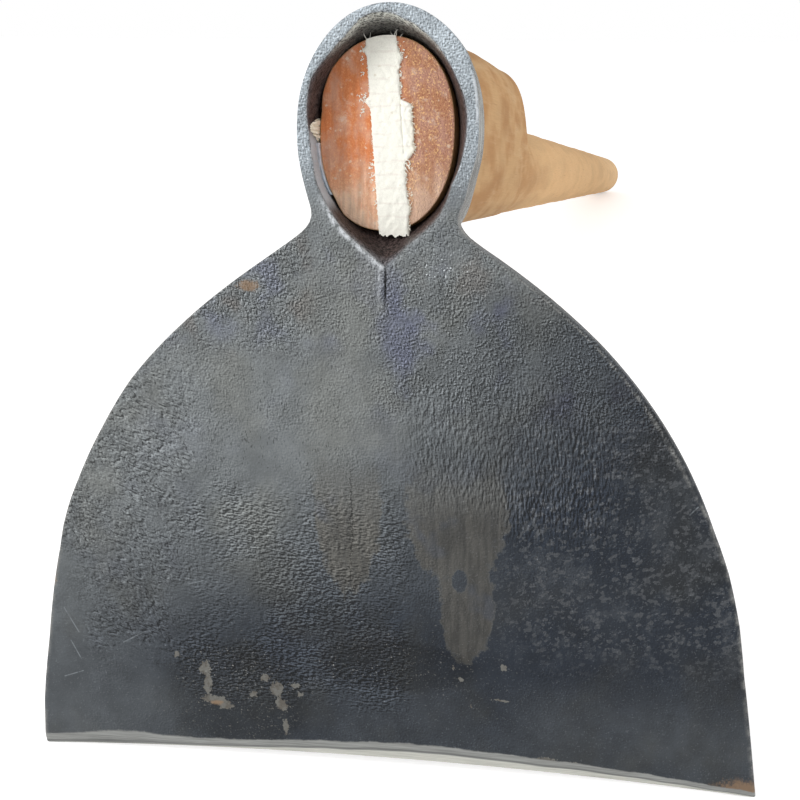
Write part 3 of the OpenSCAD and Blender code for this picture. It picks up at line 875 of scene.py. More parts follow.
    # Painted glints: pale flecks over the mottled stretch at the lower right.
    painted_glint_flecks = noise(tree, stretched(tree, hoe, (1.3, 1, 0.55), 0.5), detail=2)
    painted_glint_flecks = math_of(tree, "MULTIPLY", ramp(tree, painted_glint_flecks, 0.66, 0.74), mask_of(tree, "mottled"))
    colour = blended(tree, math_of(tree, "MULTIPLY", painted_glint_flecks, 0.35), colour, (0.20, 0.21, 0.225))
    runny = tinted(tree, (0.098, 0.093, 0.081), ramp(tree, tone_and_painted_light, 0, 0.7, 0.74, 1.12))
    runny = blended(tree, ramp(tree, hue, 0.52, 0.62, 0, 0.6), runny, (0.066, 0.074, 0.092))
    upright_run = noise(tree, stretched(tree, hoe, (1.8, 3, 14)), detail=4, roughness=0.6)
    runny = tinted(tree, runny, ramp(tree, upright_run, 0.32, 0.68, 0.72, 1.28))
    colour = blended(tree, math_of(tree, "MULTIPLY", drip, 0.72), colour, runny)
    dried = math_of(tree, "MULTIPLY", ramp(tree, drip, 0.05, 0.4), ramp(tree, drip, 0.6, 0.95, 1, 0))
    colour = blended(tree, math_of(tree, "MULTIPLY", dried, 0.2), colour, (0.14, 0.14, 0.13))
    pitted = mask_of(tree, "pitted")
    colour = tinted(tree, colour, ramp(tree, pitted, 0, 1, 1, 0.6))
    crumbly = noise(tree, stretched(tree, hoe, (0.75, 0.75, 0.6)), detail=3, roughness=0.6)
    pits = math_of(tree, "MULTIPLY", ramp(tree, crumbly, 0.60, 0.70), math_of(tree, "MULTIPLY", pitted, patchy))
    colour = blended(tree, math_of(tree, "MULTIPLY", pits, 0.65), colour, (0.17, 0.165, 0.15))
    pale_specks = math_of(tree, "MULTIPLY", ramp(tree, crumbly, 0.66, 0.72), mask_of(tree, "speck"))
    colour = blended(tree, math_of(tree, "MULTIPLY", pale_specks, 0.5), colour, (0.19, 0.19, 0.18))

    # Painted light on the rim: its colour follows the same mask, paler at its top.
    rim_level = math_of(tree, "MULTIPLY", tone_and_painted_light, ramp(tree, blotch, 0.3, 0.7, 0.84, 1.14))
    rim_level = math_of(tree, "MULTIPLY", rim_level, ramp(tree, fine, 0.36, 0.62, 0.72, 1.2))
    colour = blended(tree, math_of(tree, "MULTIPLY", ring, 0.9), colour, tinted(tree, (0.375, 0.42, 0.455), rim_level))
    grains = noise(tree, stretched(tree, hoe, (0.6, 0.6, 0.6), 0.3), detail=2)
    dark_grains = math_of(tree, "MULTIPLY", ramp(tree, grains, 0.40, 0.30), ring)
    colour = blended(tree, math_of(tree, "MULTIPLY", dark_grains, 0.75), colour, (0.07, 0.075, 0.085))
    speck_share = math_of(tree, "MAXIMUM", ramp(tree, ring, 0, 0.5, 0.05, 0.8), mask_of(tree, "sparkle"))
    rim_specks = math_of(tree, "MULTIPLY", ramp(tree, grains, 0.62, 0.70), speck_share)
    colour = blended(tree, rim_specks, colour, (0.70, 0.74, 0.77))
    streaky = noise(tree, stretched(tree, hoe, (8, 5, 26)), detail=5, roughness=0.7)
    collar_colour = tinted(tree, (0.24, 0.238, 0.222), ramp(tree, streaky, 0.36, 0.64, 0.45, 1.55))
    colour = blended(tree, mask_of(tree, "collar"), colour, collar_colour)
    worn = math_of(tree, "MULTIPLY", mask_of(tree, "worn"), ramp(tree, edgy, 0.4, 0.6, 0.1, 0.8))
    colour = blended(tree, worn, colour, (0.24, 0.24, 0.23))
    # Painted light and shade: the wrinkles' shades tint the colour as if lit from the upper left.
    shade = math_of(tree, "MULTIPLY", shade, ramp(tree, tone_and_painted_light, 0, 0.5, 1.7, 1.0))
    depth_of_shade = math_of(tree, "MINIMUM", math_of(tree, "MAXIMUM", math_of(tree, "ADD", shade, 1), 0.3), 2.6)
    colour = tinted(tree, colour, depth_of_shade)
    # Painted highlights: on the notch's lip, along the right rim's edge and on the ridge under the notch.
    painted_highlight = math_of(tree, "MULTIPLY", mask_of(tree, "notch"), ramp(tree, edgy, 0.38, 0.55))
    painted_highlight = math_of(tree, "MULTIPLY", painted_highlight, ramp(tree, fine, 0.36, 0.52, 0.25, 1))
    painted_highlight = math_of(tree, "MAXIMUM", painted_highlight, math_of(tree, "MULTIPLY", mask_of(tree, "painted_glint"), ramp(tree, edgy, 0.3, 0.5, 0.3, 1)))
    colour = blended(tree, painted_highlight, colour, (0.66, 0.69, 0.72))
    # Painted shade: the dark line in the collar's step and in the crease under the notch.
    colour = blended(tree, mask_of(tree, "seam"), colour, (0.02, 0.02, 0.022))

    ragged_edge = math_of(tree, "MULTIPLY_ADD", math_of(tree, "SUBTRACT", fine, 0.5), 1.0, edgy)
    chipped = ragged_patch(tree, "chip", ragged_edge, soft=0.1, stray=2.0)
    chip_colour = blended(tree, ramp(tree, edgy, 0.42, 0.6), (0.14, 0.125, 0.105), (0.205, 0.20, 0.18))
    colour = blended(tree, math_of(tree, "MULTIPLY", chipped, 0.72), colour, chip_colour)
    rusted = ragged_patch(tree, "rust", ragged_edge, soft=0.4, stray=1.4)
    colour = blended(tree, math_of(tree, "MULTIPLY", rusted, 0.72), colour, (0.27, 0.175, 0.105))
    unrest = put(tree, "TexNoise", {"Vector": stretched(tree, hoe, (5, 5, 5)), "Detail": 3}).outputs["Color"]
    strayed_hoe = put(tree, "VectorMath", {0: unrest, 1: (2.4, 0, 2.4), 2: hoe}, operation="MULTIPLY_ADD").outputs[0]
    strayed_hoe = put(tree, "VectorMath", {0: strayed_hoe, 1: (-1.2, 0, -1.2)}).outputs[0]
    scored = 0.0
    for first, last in scratches:
        scored = math_of(tree, "MAXIMUM", scored, scratch_line(tree, hoe, first, last))
    scored = math_of(tree, "MULTIPLY", scored, ramp(tree, edgy, 0.38, 0.56, 0.15, 0.8))
    colour = blended(tree, scored, colour, (0.20, 0.22, 0.235))
    parted = 0.0
    for first, last in cracks:
        parted = math_of(tree, "MAXIMUM", parted, scratch_line(tree, strayed_hoe, first, last))
    colour = tinted(tree, colour, ramp(tree, parted, 0, 1, 1, 0.4))

    share = math_of(tree, "MULTIPLY_ADD", math_of(tree, "SUBTRACT", edgy, 0.5), 0.3, mask_of(tree, "strip"))
    ground = ramp(tree, share, 0.86, 1.06, 1, 0)
    brushed = noise(tree, stretched(tree, hoe, (14, 1, 0.35)), detail=3)
    bare = tinted(tree, (0.25, 0.255, 0.245), ramp(tree, brushed, 0.3, 0.7, 0.8, 1.2))
    colour = blended(tree, ground, colour, bare)
    flat_share = mask_of(tree, "strip")
    dark_line = math_of(tree, "MULTIPLY", ramp(tree, flat_share, 0.02, 0.16), ramp(tree, flat_share, 0.2, 0.42, 1, 0))
    colour = blended(tree, math_of(tree, "MULTIPLY", dark_line, 0.6), colour, (0.09, 0.092, 0.09))
    facet = ramp(tree, flat_share, -0.05, 0.06, 1, 0)
    colour = blended(tree, facet, colour, tinted(tree, (0.465, 0.465, 0.425), ramp(tree, brushed, 0.3, 0.7, 0.85, 1.15)))

    # The bore: dark scale with painted shade that deepens inwards.
    depth = mask_of(tree, "depth")
    crown = mask_of(tree, "crown")
    low_walls = ramp(tree, put(tree, "SeparateXYZ", {0: hoe}).outputs[2], 10, 0)
    bore_colour_and_shade = blended(tree, low_walls, (0.085, 0.078, 0.084), (0.135, 0.128, 0.134))
    bore_colour_and_shade = blended(tree, crown, bore_colour_and_shade, (0.42, 0.43, 0.39))
    bore_colour_and_shade = tinted(tree, bore_colour_and_shade, ramp(tree, fine, 0.36, 0.62, 0.15, 1.8))
    # Painted shade: deep in the bore the colour falls to this darker one.
    painted_deep_shade = blended(tree, crown, (0.066, 0.048, 0.045), (0.10, 0.098, 0.09))
    painted_deep_shade = tinted(tree, painted_deep_shade, ramp(tree, fine, 0.38, 0.60, 0.25, 1.7))
    bore_colour_and_shade = blended(tree, ramp(tree, depth, 0, ramp(tree, crown, 0, 1, 0.5, 1.0)), bore_colour_and_shade, painted_deep_shade)
    # Painted light: the pale patch on the bore's left wall.
    bore_colour_and_shade = blended(tree, mask_of(tree, "painted_light"), bore_colour_and_shade, (0.50, 0.55, 0.60))
    flecks = math_of(tree, "MULTIPLY", ramp(tree, grains, 0.53, 0.61), crown)
    flecks = math_of(tree, "MULTIPLY", flecks, ramp(tree, depth, 0.1, 0.75, 1, 0))
    bore_colour_and_shade = blended(tree, flecks, bore_colour_and_shade, (0.75, 0.78, 0.74))
    colour = blended(tree, mask_of(tree, "bore"), colour, bore_colour_and_shade)
    tree.links.new(colour, surface.inputs["Base Color"])

    tree.links.new(math_of(tree, "MULTIPLY", ground, 0.75), surface.inputs["Metallic"])
    rough = math_of(tree, "ADD", ramp(tree, blotch, 0.3, 0.7, -0.07, 0.07), ramp(tree, tone_and_painted_light, 0, 1, 0.38, 0.5))
    tree.links.new(rough, surface.inputs["Roughness"])
    surface.inputs["Specular IOR Level"].default_value = 0.15
    bumped = put(tree, "Bump", {"Height": height, "Distance": 0.8 * mm, "Strength": 1.0})
    tree.links.new(bumped.outputs[0], surface.inputs["Normal"])
    return material


head.data.materials.append(finish_steel())
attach(head, "root")
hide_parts("hoe_head")

# The handle. One straight piece of hardwood: its tenon is shaped to fill the eye and sawn off
# 12 mm inside the mouth, the tall oval swell behind the eye is drawn down to a round shaft, and
# all but the sawn end is varnished. A saw cut takes the wedge.
recess = 12
swell_w = 40.5
swell_h = 62
swell_start = 130
swell_end = 230
fall_l = 35
swell_power = 2.95
saw_cut = 1.5
end_round = 0.5
wedge_t = 8.8
wedge_tip_t = 2
wedge_l = 34
wedge_proud = 1
wedge_lean = 5
wedge_front = recess - wedge_proud
wedge_back = wedge_front + wedge_l
fall_end = swell_end + fall_l
handle_n = 128


# The wedge has spread the tenon's end within the flare of the mouth: millimetres outwards by the
# degrees round the sawn end, from 0 at the right and 90 at the top.
end_spread = ([0, 35, 60, 105, 125, 142, 158, 169, 222, 234, 250, 268, 320, 360],
              [-0.45, -0.1, 0, 0, 0.5, 1.0, 0.8, 0, 0, 0.8, 0.5, 0, -0.5, -0.45])


def handle_rings(y, share, inset):
    """Oval rings round the handle, one at each y. Tenon, swell and shaft blend into each other,
    a ring is drawn in to a share of its size, and then by an inset in millimetres."""
    grown = ease((y - eye_depth_low) / (swell_start - eye_depth_low))
    fallen_off = ease((y - swell_end) / fall_l)

    def step(tenon, swell, shaft):
        return mix(mix(tenon, swell, grown), shaft, fallen_off)[:, None]
    half_w = step(tenon_w, swell_w, shaft_d) / 2
    half_h = step(tenon_h, swell_h, shaft_d) / 2
    low = step(tenon_low, underside_z, underside_z)
    angle = 2 * math.pi * np.arange(handle_n) / handle_n
    ox, oz = oval(angle[None, :], step(tenon_power, swell_power, 2))
    y = y[:, None] + 0 * angle
    free = ease((y - 50) / 40) * ease((reach - 30 - y) / 60)
    shaved = 0.22 * waves(y, 20 * angle, 90, 55, 61) * free
    shaved += np.interp(np.degrees(angle), *end_spread) * ease((17 - y) / 4) * share[:, None]
    x = handle_x + (half_w * share[:, None] - inset[:, None] + shaved) * ox
    z = low + half_h + (half_h * share[:, None] - inset[:, None] + shaved) * oz
    return np.stack([x, y, z], axis=-1)


quarter = np.linspace(0, math.pi / 2, 6)
butt_quarter = np.linspace(0, math.pi / 2, 11)
stations = [
    (0 * np.arange(24) + recess, np.linspace(0.04, 1, 24), 0 * np.arange(24) + end_round),
    (recess + end_round * (1 - np.cos(quarter)), 1 + 0 * quarter, end_round * (1 - np.sin(quarter))),
]
for first, last, count in (
    (recess + end_round, eye_depth_low, 10),
    (eye_depth_low, swell_start, 26),
    (swell_start, swell_end, 14),
    (swell_end, fall_end, 30),
    (fall_end, reach - butt_round, 100),
):
    y = np.linspace(first, last, count + 1)[1:]
    stations.append((y, 1 + 0 * y, 0 * y))
stations.append((reach - butt_round * (1 - np.sin(butt_quarter[1:])), 1 + 0 * butt_quarter[1:],
                 butt_round * (1 - np.cos(butt_quarter[1:]))))
inward = np.linspace(1, 0, 9)[1:-1]
butt_flat = 1 - 2 * butt_round / shaft_d
stations.append((0 * inward + reach, inward * butt_flat, 0 * inward))
rings = handle_rings(*[np.concatenate(column) for column in zip(*stations)])


def closed_rings(ring_count, around):
    """Quads between neighbouring rings, each closed on itself, and a face over either end."""
    number = np.arange(ring_count * around).reshape(ring_count, around)
    following = np.roll(number, -1, axis=1)
    quads = np.stack([number[:-1], number[1:], following[1:], following[:-1]], axis=-1).reshape(-1, 4)
    return [quads, number[0][None], number[-1][None]]


handle = mesh_piece("shaped_handle", rings.reshape(-1, 3), closed_rings(*rings.shape[:2]))


def wedge_middle(z):
    """Where the leaning wedge's middle lies across the tenon at a height."""
    return handle_x - math.tan(math.radians(wedge_lean)) * (z - tenon_z)


def sawn(piece):
    """Cuts the wedge's slot: a block that tapers from the wedge's outer end to its thin end and
    runs on by the saw cut, taken out of the piece."""
    half, tip = wedge_t / 2, wedge_tip_t / 2
    outline_y = np.array([wedge_front, wedge_front, wedge_back, wedge_back + saw_cut, wedge_back + saw_cut, wedge_back])
    outline_x = np.array([-half, half, tip, tip, -tip, -tip]) / math.cos(math.radians(wedge_lean))
    block_z = tenon_z + tenon_h * np.array([-1, 1])[:, None]
    block_x = outline_x + wedge_middle(block_z)
    block = np.stack([block_x, outline_y + 0 * block_z, block_z + 0 * outline_x], axis=-1)
    cutter = mesh_piece("slot_block", block.reshape(-1, 3), closed_rings(2, 6))
    cut = piece.modifiers.new("slot", "BOOLEAN")
    cut.operation = "DIFFERENCE"
    cut.solver = "EXACT"
    cut.object = cutter
    shaped = bpy.data.meshes.new_from_object(piece.evaluated_get(bpy.context.evaluated_depsgraph_get()))
    piece.modifiers.clear()
    piece.data = shaped
    bpy.data.objects.remove(cutter)
    shaped.shade_smooth()
    shaped.set_sharp_from_angle(angle=math.radians(30))


sawn(handle)


def make_grain():
    """Group: wood in the hoe's frame, with its fibres along Y. Rings are waves across X that
    wander slowly along the fibres; fibres and pores are noises drawn out along them, so that a
    face square to them shows dots."""
    sockets = [("Vector", "Vector", None), ("Ring", "Float", 4.0), ("Fibre", "Float", 0.5), ("Length", "Float", 12.0)]
    tree, given, made = new_group("wood_grain", sockets, ["Ring", "Fibre", "Pore"])
    place = given["Vector"]
    wander = noise(tree, stretched(tree, place, (16, 120, 22)), detail=2)
    across = put(tree, "SeparateXYZ", {0: place}).outputs[0]
    strayed = math_of(tree, "MULTIPLY_ADD", wander, 26.0, across)
    turns = math_of(tree, "DIVIDE", math_of(tree, "MULTIPLY", strayed, 2 * math.pi), given["Ring"])
    wave = math_of(tree, "MULTIPLY_ADD", math_of(tree, "SINE", turns), 0.5, 0.5)
    tree.links.new(wave, made["Ring"])
    lengths = put(tree, "CombineXYZ", {0: given["Fibre"], 1: given["Length"], 2: given["Fibre"]}).outputs[0]
    drawn_out = put(tree, "VectorMath", {0: place, 1: lengths}, operation="DIVIDE").outputs[0]
    tree.links.new(noise(tree, drawn_out, detail=3, roughness=0.6), made["Fibre"])
    tree.links.new(noise(tree, drawn_out, scale=0.62, detail=1), made["Pore"])
    return tree


grain = make_grain()


def grained(tree, where, ring, fibre, length):
    """The outputs of the grain group, placed in a material."""
    inputs = {"Vector": where, "Ring": ring, "Fibre": fibre, "Length": length}
    return put(tree, "Group", inputs, node_tree=grain).outputs


def finish_handle():
    """Varnished tan wood with soft orange mottles, paler along the shaft. The sawn end is redder
    and bare: upright bands with rows of open pores, smoother at the left of the wedge."""
    material, tree, surface = new_material("varnished_wood")
    hoe = hoe_frame(tree)
    place = put(tree, "SeparateXYZ", {0: hoe}).outputs
    wood = grained(tree, hoe, 13.0, 0.42, 16.0)
    mottle = noise(tree, stretched(tree, hoe, (12, 34, 13)), detail=3)
    flame = noise(tree, stretched(tree, hoe, (7, 60, 5)), detail=3, roughness=0.6)
    side = blended(tree, ramp(tree, mottle, 0.38, 0.66), (0.535, 0.325, 0.150), (0.43, 0.225, 0.088))
    side = blended(tree, ramp(tree, flame, 0.5, 0.72, 0, 0.6), side, (0.57, 0.37, 0.19))
    side = blended(tree, ramp(tree, place[1], 200, 420, 0, 0.75), side, (0.76, 0.48, 0.235))
    side = blended(tree, ramp(tree, place[1], 900, 1500, 0, 0.9), side, (0.90, 0.60, 0.315))
    side = tinted(tree, side, ramp(tree, wood["Ring"], 0, 1, 0.95, 1.04))
    side = tinted(tree, side, ramp(tree, wood["Fibre"], 0.25, 0.75, 0.95, 1.04))
    side = blended(tree, ramp(tree, wood["Pore"], 0.66, 0.76, 0, 0.3), side, (0.36, 0.19, 0.08))

    streak = noise(tree, stretched(tree, hoe, (1.5, 40, 15)), detail=3, roughness=0.55)
    cloud = noise(tree, stretched(tree, hoe, (4.5, 40, 8), 0.1), detail=4, roughness=0.6)
    sawn_end = blended(tree, ramp(tree, cloud, 0.38, 0.62), (0.66, 0.225, 0.092), (0.66, 0.33, 0.215))
    sawn_end = tinted(tree, sawn_end, ramp(tree, streak, 0.3, 0.7, 0.95, 1.12))
    right_side = ramp(tree, place[0], -2, 6)
    greyer = blended(tree, ramp(tree, cloud, 0.4, 0.6), (0.50, 0.235, 0.135), (0.54, 0.29, 0.215))
    sawn_end = blended(tree, right_side, sawn_end, greyer)
    low_down = ramp(tree, place[2], 22, 6)
    coarse = math_of(tree, "MAXIMUM", right_side, math_of(tree, "MULTIPLY", low_down, 0.7))
    coarse = math_of(tree, "MULTIPLY_ADD", coarse, 0.68, 0.32)
    dots = noise(tree, stretched(tree, hoe, (0.42, 20, 0.5)), detail=2, roughness=0.6)
    rows_of_dots = math_of(tree, "MULTIPLY", ramp(tree, dots, 0.52, 0.68), ramp(tree, streak, 0.38, 0.58, 0.3, 1))
    sawn_end = blended(tree, math_of(tree, "MULTIPLY", rows_of_dots, coarse), sawn_end, (0.93, 0.60, 0.29))
    dark_dots = math_of(tree, "MULTIPLY", ramp(tree, dots, 0.44, 0.3), coarse)
    sawn_end = blended(tree, math_of(tree, "MULTIPLY", dark_dots, 0.6), sawn_end, (0.27, 0.10, 0.06))
    frost = noise(tree, stretched(tree, hoe, (3.2, 20, 3.8), 0.7), detail=5, roughness=0.7)
    sawn_end = blended(tree, ramp(tree, frost, 0.57, 0.72, 0, 0.6), sawn_end, (0.80, 0.62, 0.50))
    pale = math_of(tree, "MULTIPLY", low_down, ramp(tree, cloud, 0.35, 0.6, 0.45, 0.8))
    pale = math_of(tree, "MULTIPLY", pale, ramp(tree, right_side, 0, 1, 1, 0.7))
    sawn_end = blended(tree, pale, sawn_end, tinted(tree, (0.93, 0.68, 0.50), ramp(tree, streak, 0.3, 0.7, 0.78, 1.16)))
    dust = math_of(tree, "MULTIPLY", speckled(tree, hoe, 1.5, 0.3), 0.65)
    sawn_end = blended(tree, dust, sawn_end, (0.80, 0.62, 0.48))
    # Painted highlight: a pale line round the rounded edge of the sawn end.
    painted_edge_highlight = ramp(tree, place[1], recess + 0.03, recess + 0.2)
    sawn_end = blended(tree, math_of(tree, "MULTIPLY", painted_edge_highlight, 0.8), sawn_end, (0.72, 0.44, 0.20))
    at_end = ramp(tree, place[1], recess + 0.3, recess + 0.9, 1, 0)
    tree.links.new(blended(tree, at_end, side, sawn_end), surface.inputs["Base Color"])

    tree.links.new(ramp(tree, at_end, 0, 1, 0.42, 0.8), surface.inputs["Roughness"])
    surface.inputs["Specular IOR Level"].default_value = 0.0
    tree.links.new(ramp(tree, at_end, 0, 1, 0.1, 0), surface.inputs["Coat Weight"])
    surface.inputs["Coat Roughness"].default_value = 0.22
    rough_height = math_of(tree, "MULTIPLY", dots, math_of(tree, "MULTIPLY", at_end, coarse))
    height = math_of(tree, "MULTIPLY_ADD", wood["Fibre"], 0.06, rough_height)
    bumped = put(tree, "Bump", {"Height": height, "Distance": 0.5 * mm, "Strength": 0.8})
    tree.links.new(bumped.outputs[0], surface.inputs["Normal"])
    return material


handle.data.materials.append(finish_handle())
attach(handle, "root")
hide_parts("handle")

# The wedge. A strip of pale dry wood driven into the saw cut, which spreads the tenon. Its end
# is crushed by the mallet, so that it stands 1 mm proud and has spread over the tenon's face at
# the right, with torn fibres along its edges and a ragged lower lip.
lip_drop = 1.3
face_rows = 190
slot_columns = 26
right_columns = 9
left_columns = 3
lap = 0.02
lap_y = recess - 0.03


def ragged(z, seed):
    """The torn edge of the wedge in millimetres: coarse and fine teeth."""
    return 0.22 * waves(z, 0 * z, 2.6, 2.6, seed) + 0.2 * waves(z, 0 * z, 0.9, 0.9, seed + 1)


def tenon_height(x, side):
    """Height of the tenon's top for side 1, or of its underside for side -1, at x across."""
    across = np.clip(np.abs(x - handle_x) / (tenon_w / 2), 0, 1)
    return tenon_z + side * tenon_h / 2 * (1 - across ** tenon_power) ** (1 / tenon_power)


def wedge_face(z):
    """The wedge's left and right edges over the tenon's face at a height: the slot's sides, moved
    out where wood has spread, with a lump at the right from 21 to 37 mm up."""
    half = wedge_t / 2 / math.cos(math.radians(wedge_lean))
    spread_right = 3.2 * (ease((37.2 - z) / 1.8) - ease((22.5 - z) / 4.5)) + 1.4 * bump(z, 48.8, 2.4)
    spread_right += 0.7 * bump(z, 5.5, 2.5) + ragged(z, 71)
    spread_left = 1.5 * bump(z, 36, 1.4) + 0.9 * bump(z, 50.6, 1.3) + 0.6 * ragged(z, 73)
    left = wedge_middle(z) - half - np.maximum(spread_left, 0.05)
    return left, wedge_middle(z) - half, wedge_middle(z) + half, wedge_middle(z) + half + np.maximum(spread_right, 0.05)


t = np.linspace(0, 1, face_rows + 1)
row_z = mix(tenon_low - lip_drop, tenon_low + tenon_h - 0.3, t)
left, slot_left, slot_right, right_edge = wedge_face(row_z)
column_x = np.concatenate([
    mix(left, slot_left - lap, np.linspace(0, 1, left_columns)[:, None]),
    mix(slot_left + lap, slot_right - lap, np.linspace(0, 1, slot_columns)[:, None]),
    mix(slot_right + lap, right_edge, np.linspace(0, 1, right_columns)[:, None]),
])
in_slot = np.zeros(len(column_x), dtype=bool)
in_slot[left_columns:left_columns + slot_columns] = True
lump = ease((37 - row_z) / 2) * ease((row_z - 21.5) / 3)
from_edge = np.minimum(column_x - left, right_edge - column_x)
teeth = 0.45 * waves(column_x[:, 0], 0 * column_x[:, 0], 1.5, 1.5, 75) + 0.25 * waves(column_x[:, 0], 0 * column_x[:, 0], 0.6, 0.6, 76)
top_z = np.where(in_slot, tenon_height(column_x[:, -1], 1), row_z[-1] - 0.4)
low_z = tenon_low - lip_drop + teeth - 0.3 * bump(column_x[:, 0], 1.0, 2.4)
face_z = mix(low_z[:, None], top_z[:, None], t)
crush = 0.10 * waves(column_x, face_z, 2.2, 3.5, 77) + 0.05 * waves(column_x, face_z, 0.8, 1.2, 78)
crush += 0.14 * waves(column_x, face_z, 1.3, 1.3, 79) * ease((column_x - slot_right + 1.5) / 2) * (0.3 + lump)
saw_line = 0.10 * np.maximum(np.sin(2 * math.pi * (face_z + 0.1 * column_x) / 2.65), 0.6) - 0.06
seam = 0.4 * bump(column_x - slot_right, 0.1, 0.28) * lump
face_y = wedge_front + 0.25 + crush + saw_line + seam + 0.6 * round_over(from_edge, 0.7)
face_y = np.clip(face_y, wedge_front - 0.1, lap_y - 0.08)
deep_share = (wedge_tip_t / 2) / (wedge_t / 2)
deep_x = mix(wedge_middle(row_z), column_x, deep_share)
back_x = np.where(in_slot[:, None], deep_x, column_x)
back_y = np.where(in_slot[:, None], wedge_back, lap_y) + 0 * row_z
back_low = tenon_height(deep_x[:, 0], -1) + 0.02
back_z = np.where(in_slot[:, None], mix(back_low[:, None], top_z[:, None], t), face_z)
shelf_x = column_x[:, :1]
shelf_y = np.where(in_slot, recess + 1.2, lap_y - 0.02)[:, None]
shelf_z = np.where(in_slot, tenon_height(column_x[:, 0], -1) + 0.02, low_z)[:, None]
wedge_loops = np.stack([
    np.concatenate([column_x, back_x[:, ::-1], shelf_x], axis=1),
    np.concatenate([face_y, back_y[:, ::-1], shelf_y], axis=1),
    np.concatenate([face_z, back_z[:, ::-1], shelf_z], axis=1),
], axis=-1)


def wedge_faces():
    """Quads between neighbouring columns, whose loops run up the face and down the back, and the
    faces that close the first and the last column."""
    count, around = wedge_loops.shape[:2]
    quads = closed_rings(count, around)[0]
    n = face_rows + 1
    sides = [quads]
    for column in (0, count - 1):
        up = column * around + np.arange(n)
        back = column * around + around - 2 - np.arange(n)
        sides.append(np.stack([up[:-1], up[1:], back[1:], back[:-1]], axis=-1))
        sides.append(np.array([[up[0], back[0], column * around + around - 1]]))
    return sides


def slivers(starts, ends, bow, radius, flat=0.6, rings_n=6, around=5):
    """Closed slivers of wood, one from each start to its end: a bowed middle line, with a small
    flattened ring at every step of it that narrows towards the end."""
    starts, ends = np.asarray(starts, dtype=float), np.asarray(ends, dtype=float)
    run = np.linspace(0, 1, rings_n)[None, :, None, None]
    way = ends - starts
    sideways = np.cross(way, [0.3, 0.2, 1.0])
    sideways /= np.linalg.norm(sideways, axis=1, keepdims=True) + 1e-9
    upward = np.cross(sideways, way)
    upward /= np.linalg.norm(upward, axis=1, keepdims=True) + 1e-9
    a = (2 * math.pi * np.arange(around) / around)[None, None, :, None]
    ring = np.cos(a) * upward[:, None, None] + flat * np.sin(a) * sideways[:, None, None]
    thick = np.asarray(radius)[:, None, None, None] * (1 - 0.75 * run ** 1.5)
    bent = 4 * run * (1 - run) * np.asarray(bow)[:, None, None, None] * sideways[:, None, None]
    points = starts[:, None, None] + way[:, None, None] * run + bent + thick * ring
    first = (np.arange(len(starts)) * rings_n * around)[:, None, None]
    quads, near_end, far_end = closed_rings(rings_n, around)
    return points.reshape(-1, 3), [(quads + first).reshape(-1, 4), (near_end + first).reshape(-1, around),
                                   (far_end + first).reshape(-1, around)]


def joined(shells):
    """Several closed shells as one: their points, and their faces counted on."""
    points, faces, count = [], [], 0
    for shell_points, shell_faces in shells:
        points.append(shell_points)
        faces += [face + count for face in shell_faces]
        count += len(shell_points)
    return np.concatenate(points), faces


def torn_fringe(seed, count, side, reach_out):
    """Short fibres torn out along one edge of the wedge's face, lying on the tenon."""
    rng = np.random.default_rng(seed)
    z = rng.uniform(-1, 53, count)
    edges = wedge_face(z)
    x = edges[3] - 0.2 if side > 0 else edges[0] + 0.2
    out = rng.uniform(0.3, 1, count) * reach_out
    start = np.stack([x, rng.uniform(11.45, 11.8, count), z], axis=-1)
    end = np.stack([x + side * out, rng.uniform(11.5, 11.85, count), z + rng.normal(0, 0.6, count)], axis=-1)
    return slivers(start, end, rng.normal(0, 0.12, count), rng.uniform(0.07, 0.16, count), rings_n=4, around=4)


def crumbs(seed, heaps):
    """Crumbs of wood on the tenon's face. Each heap is its middle, its spread and its count."""
    rng = np.random.default_rng(seed)
    middles = np.repeat([(x, z) for x, z, _, _ in heaps], [n for *_, n in heaps], axis=0)
    spreads = np.repeat([(s, 1.8 * s) for _, _, s, _ in heaps], [n for *_, n in heaps], axis=0)
    spot = middles + rng.normal(0, 1, middles.shape) * spreads
    heading = rng.uniform(0, 2 * math.pi, len(spot))
    size = rng.uniform(0.2, 0.42, len(spot))
    step = np.stack([np.cos(heading) * size, 0 * size, np.sin(heading) * size], axis=-1)
    centre = np.stack([spot[:, 0], 11.78 + 0 * size, spot[:, 1]], axis=-1)
    return slivers(centre - step, centre + step, 0 * size, rng.uniform(0.12, 0.22, len(spot)), rings_n=4, around=6)


hair_roots = [(-8.2, 11.8, 53.2), (-7.6, 11.6, 53.4), (-0.2, 11.5, 54.2), (0.1, 11.6, 54.0), (-0.5, 11.4, 54.2), (1.5, 11.6, 54.0)]
hair_tips = [(-9.2, 11.2, 55.2), (-7.2, 11.2, 55.4), (0.9, 11.0, 56.2), (0.2, 11.2, 56.4), (-1.4, 11.1, 55.6), (2.3, 11.3, 55.0)]
hairs = slivers(hair_roots, hair_tips, [0.3, -0.2, 0.35, -0.3, 0.2, 0.2], [0.16, 0.12, 0.16, 0.12, 0.1, 0.12])
curl_roots = [(3.3, 11.7, 19.5), (3.5, 11.7, 18.6), (3.2, 11.7, 17.6), (-5.2, 11.7, 17.5), (-5.0, 11.7, 15.0)]
curl_tips = [(5.2, 11.4, 19.0), (5.0, 11.5, 17.2), (4.6, 11.5, 15.8), (-6.9, 11.5, 18.6), (-6.3, 11.5, 14.2)]
curls = slivers(curl_roots, curl_tips, [0.4, -0.4, 0.3, 0.4, -0.3], [0.28, 0.24, 0.22, 0.24, 0.2])
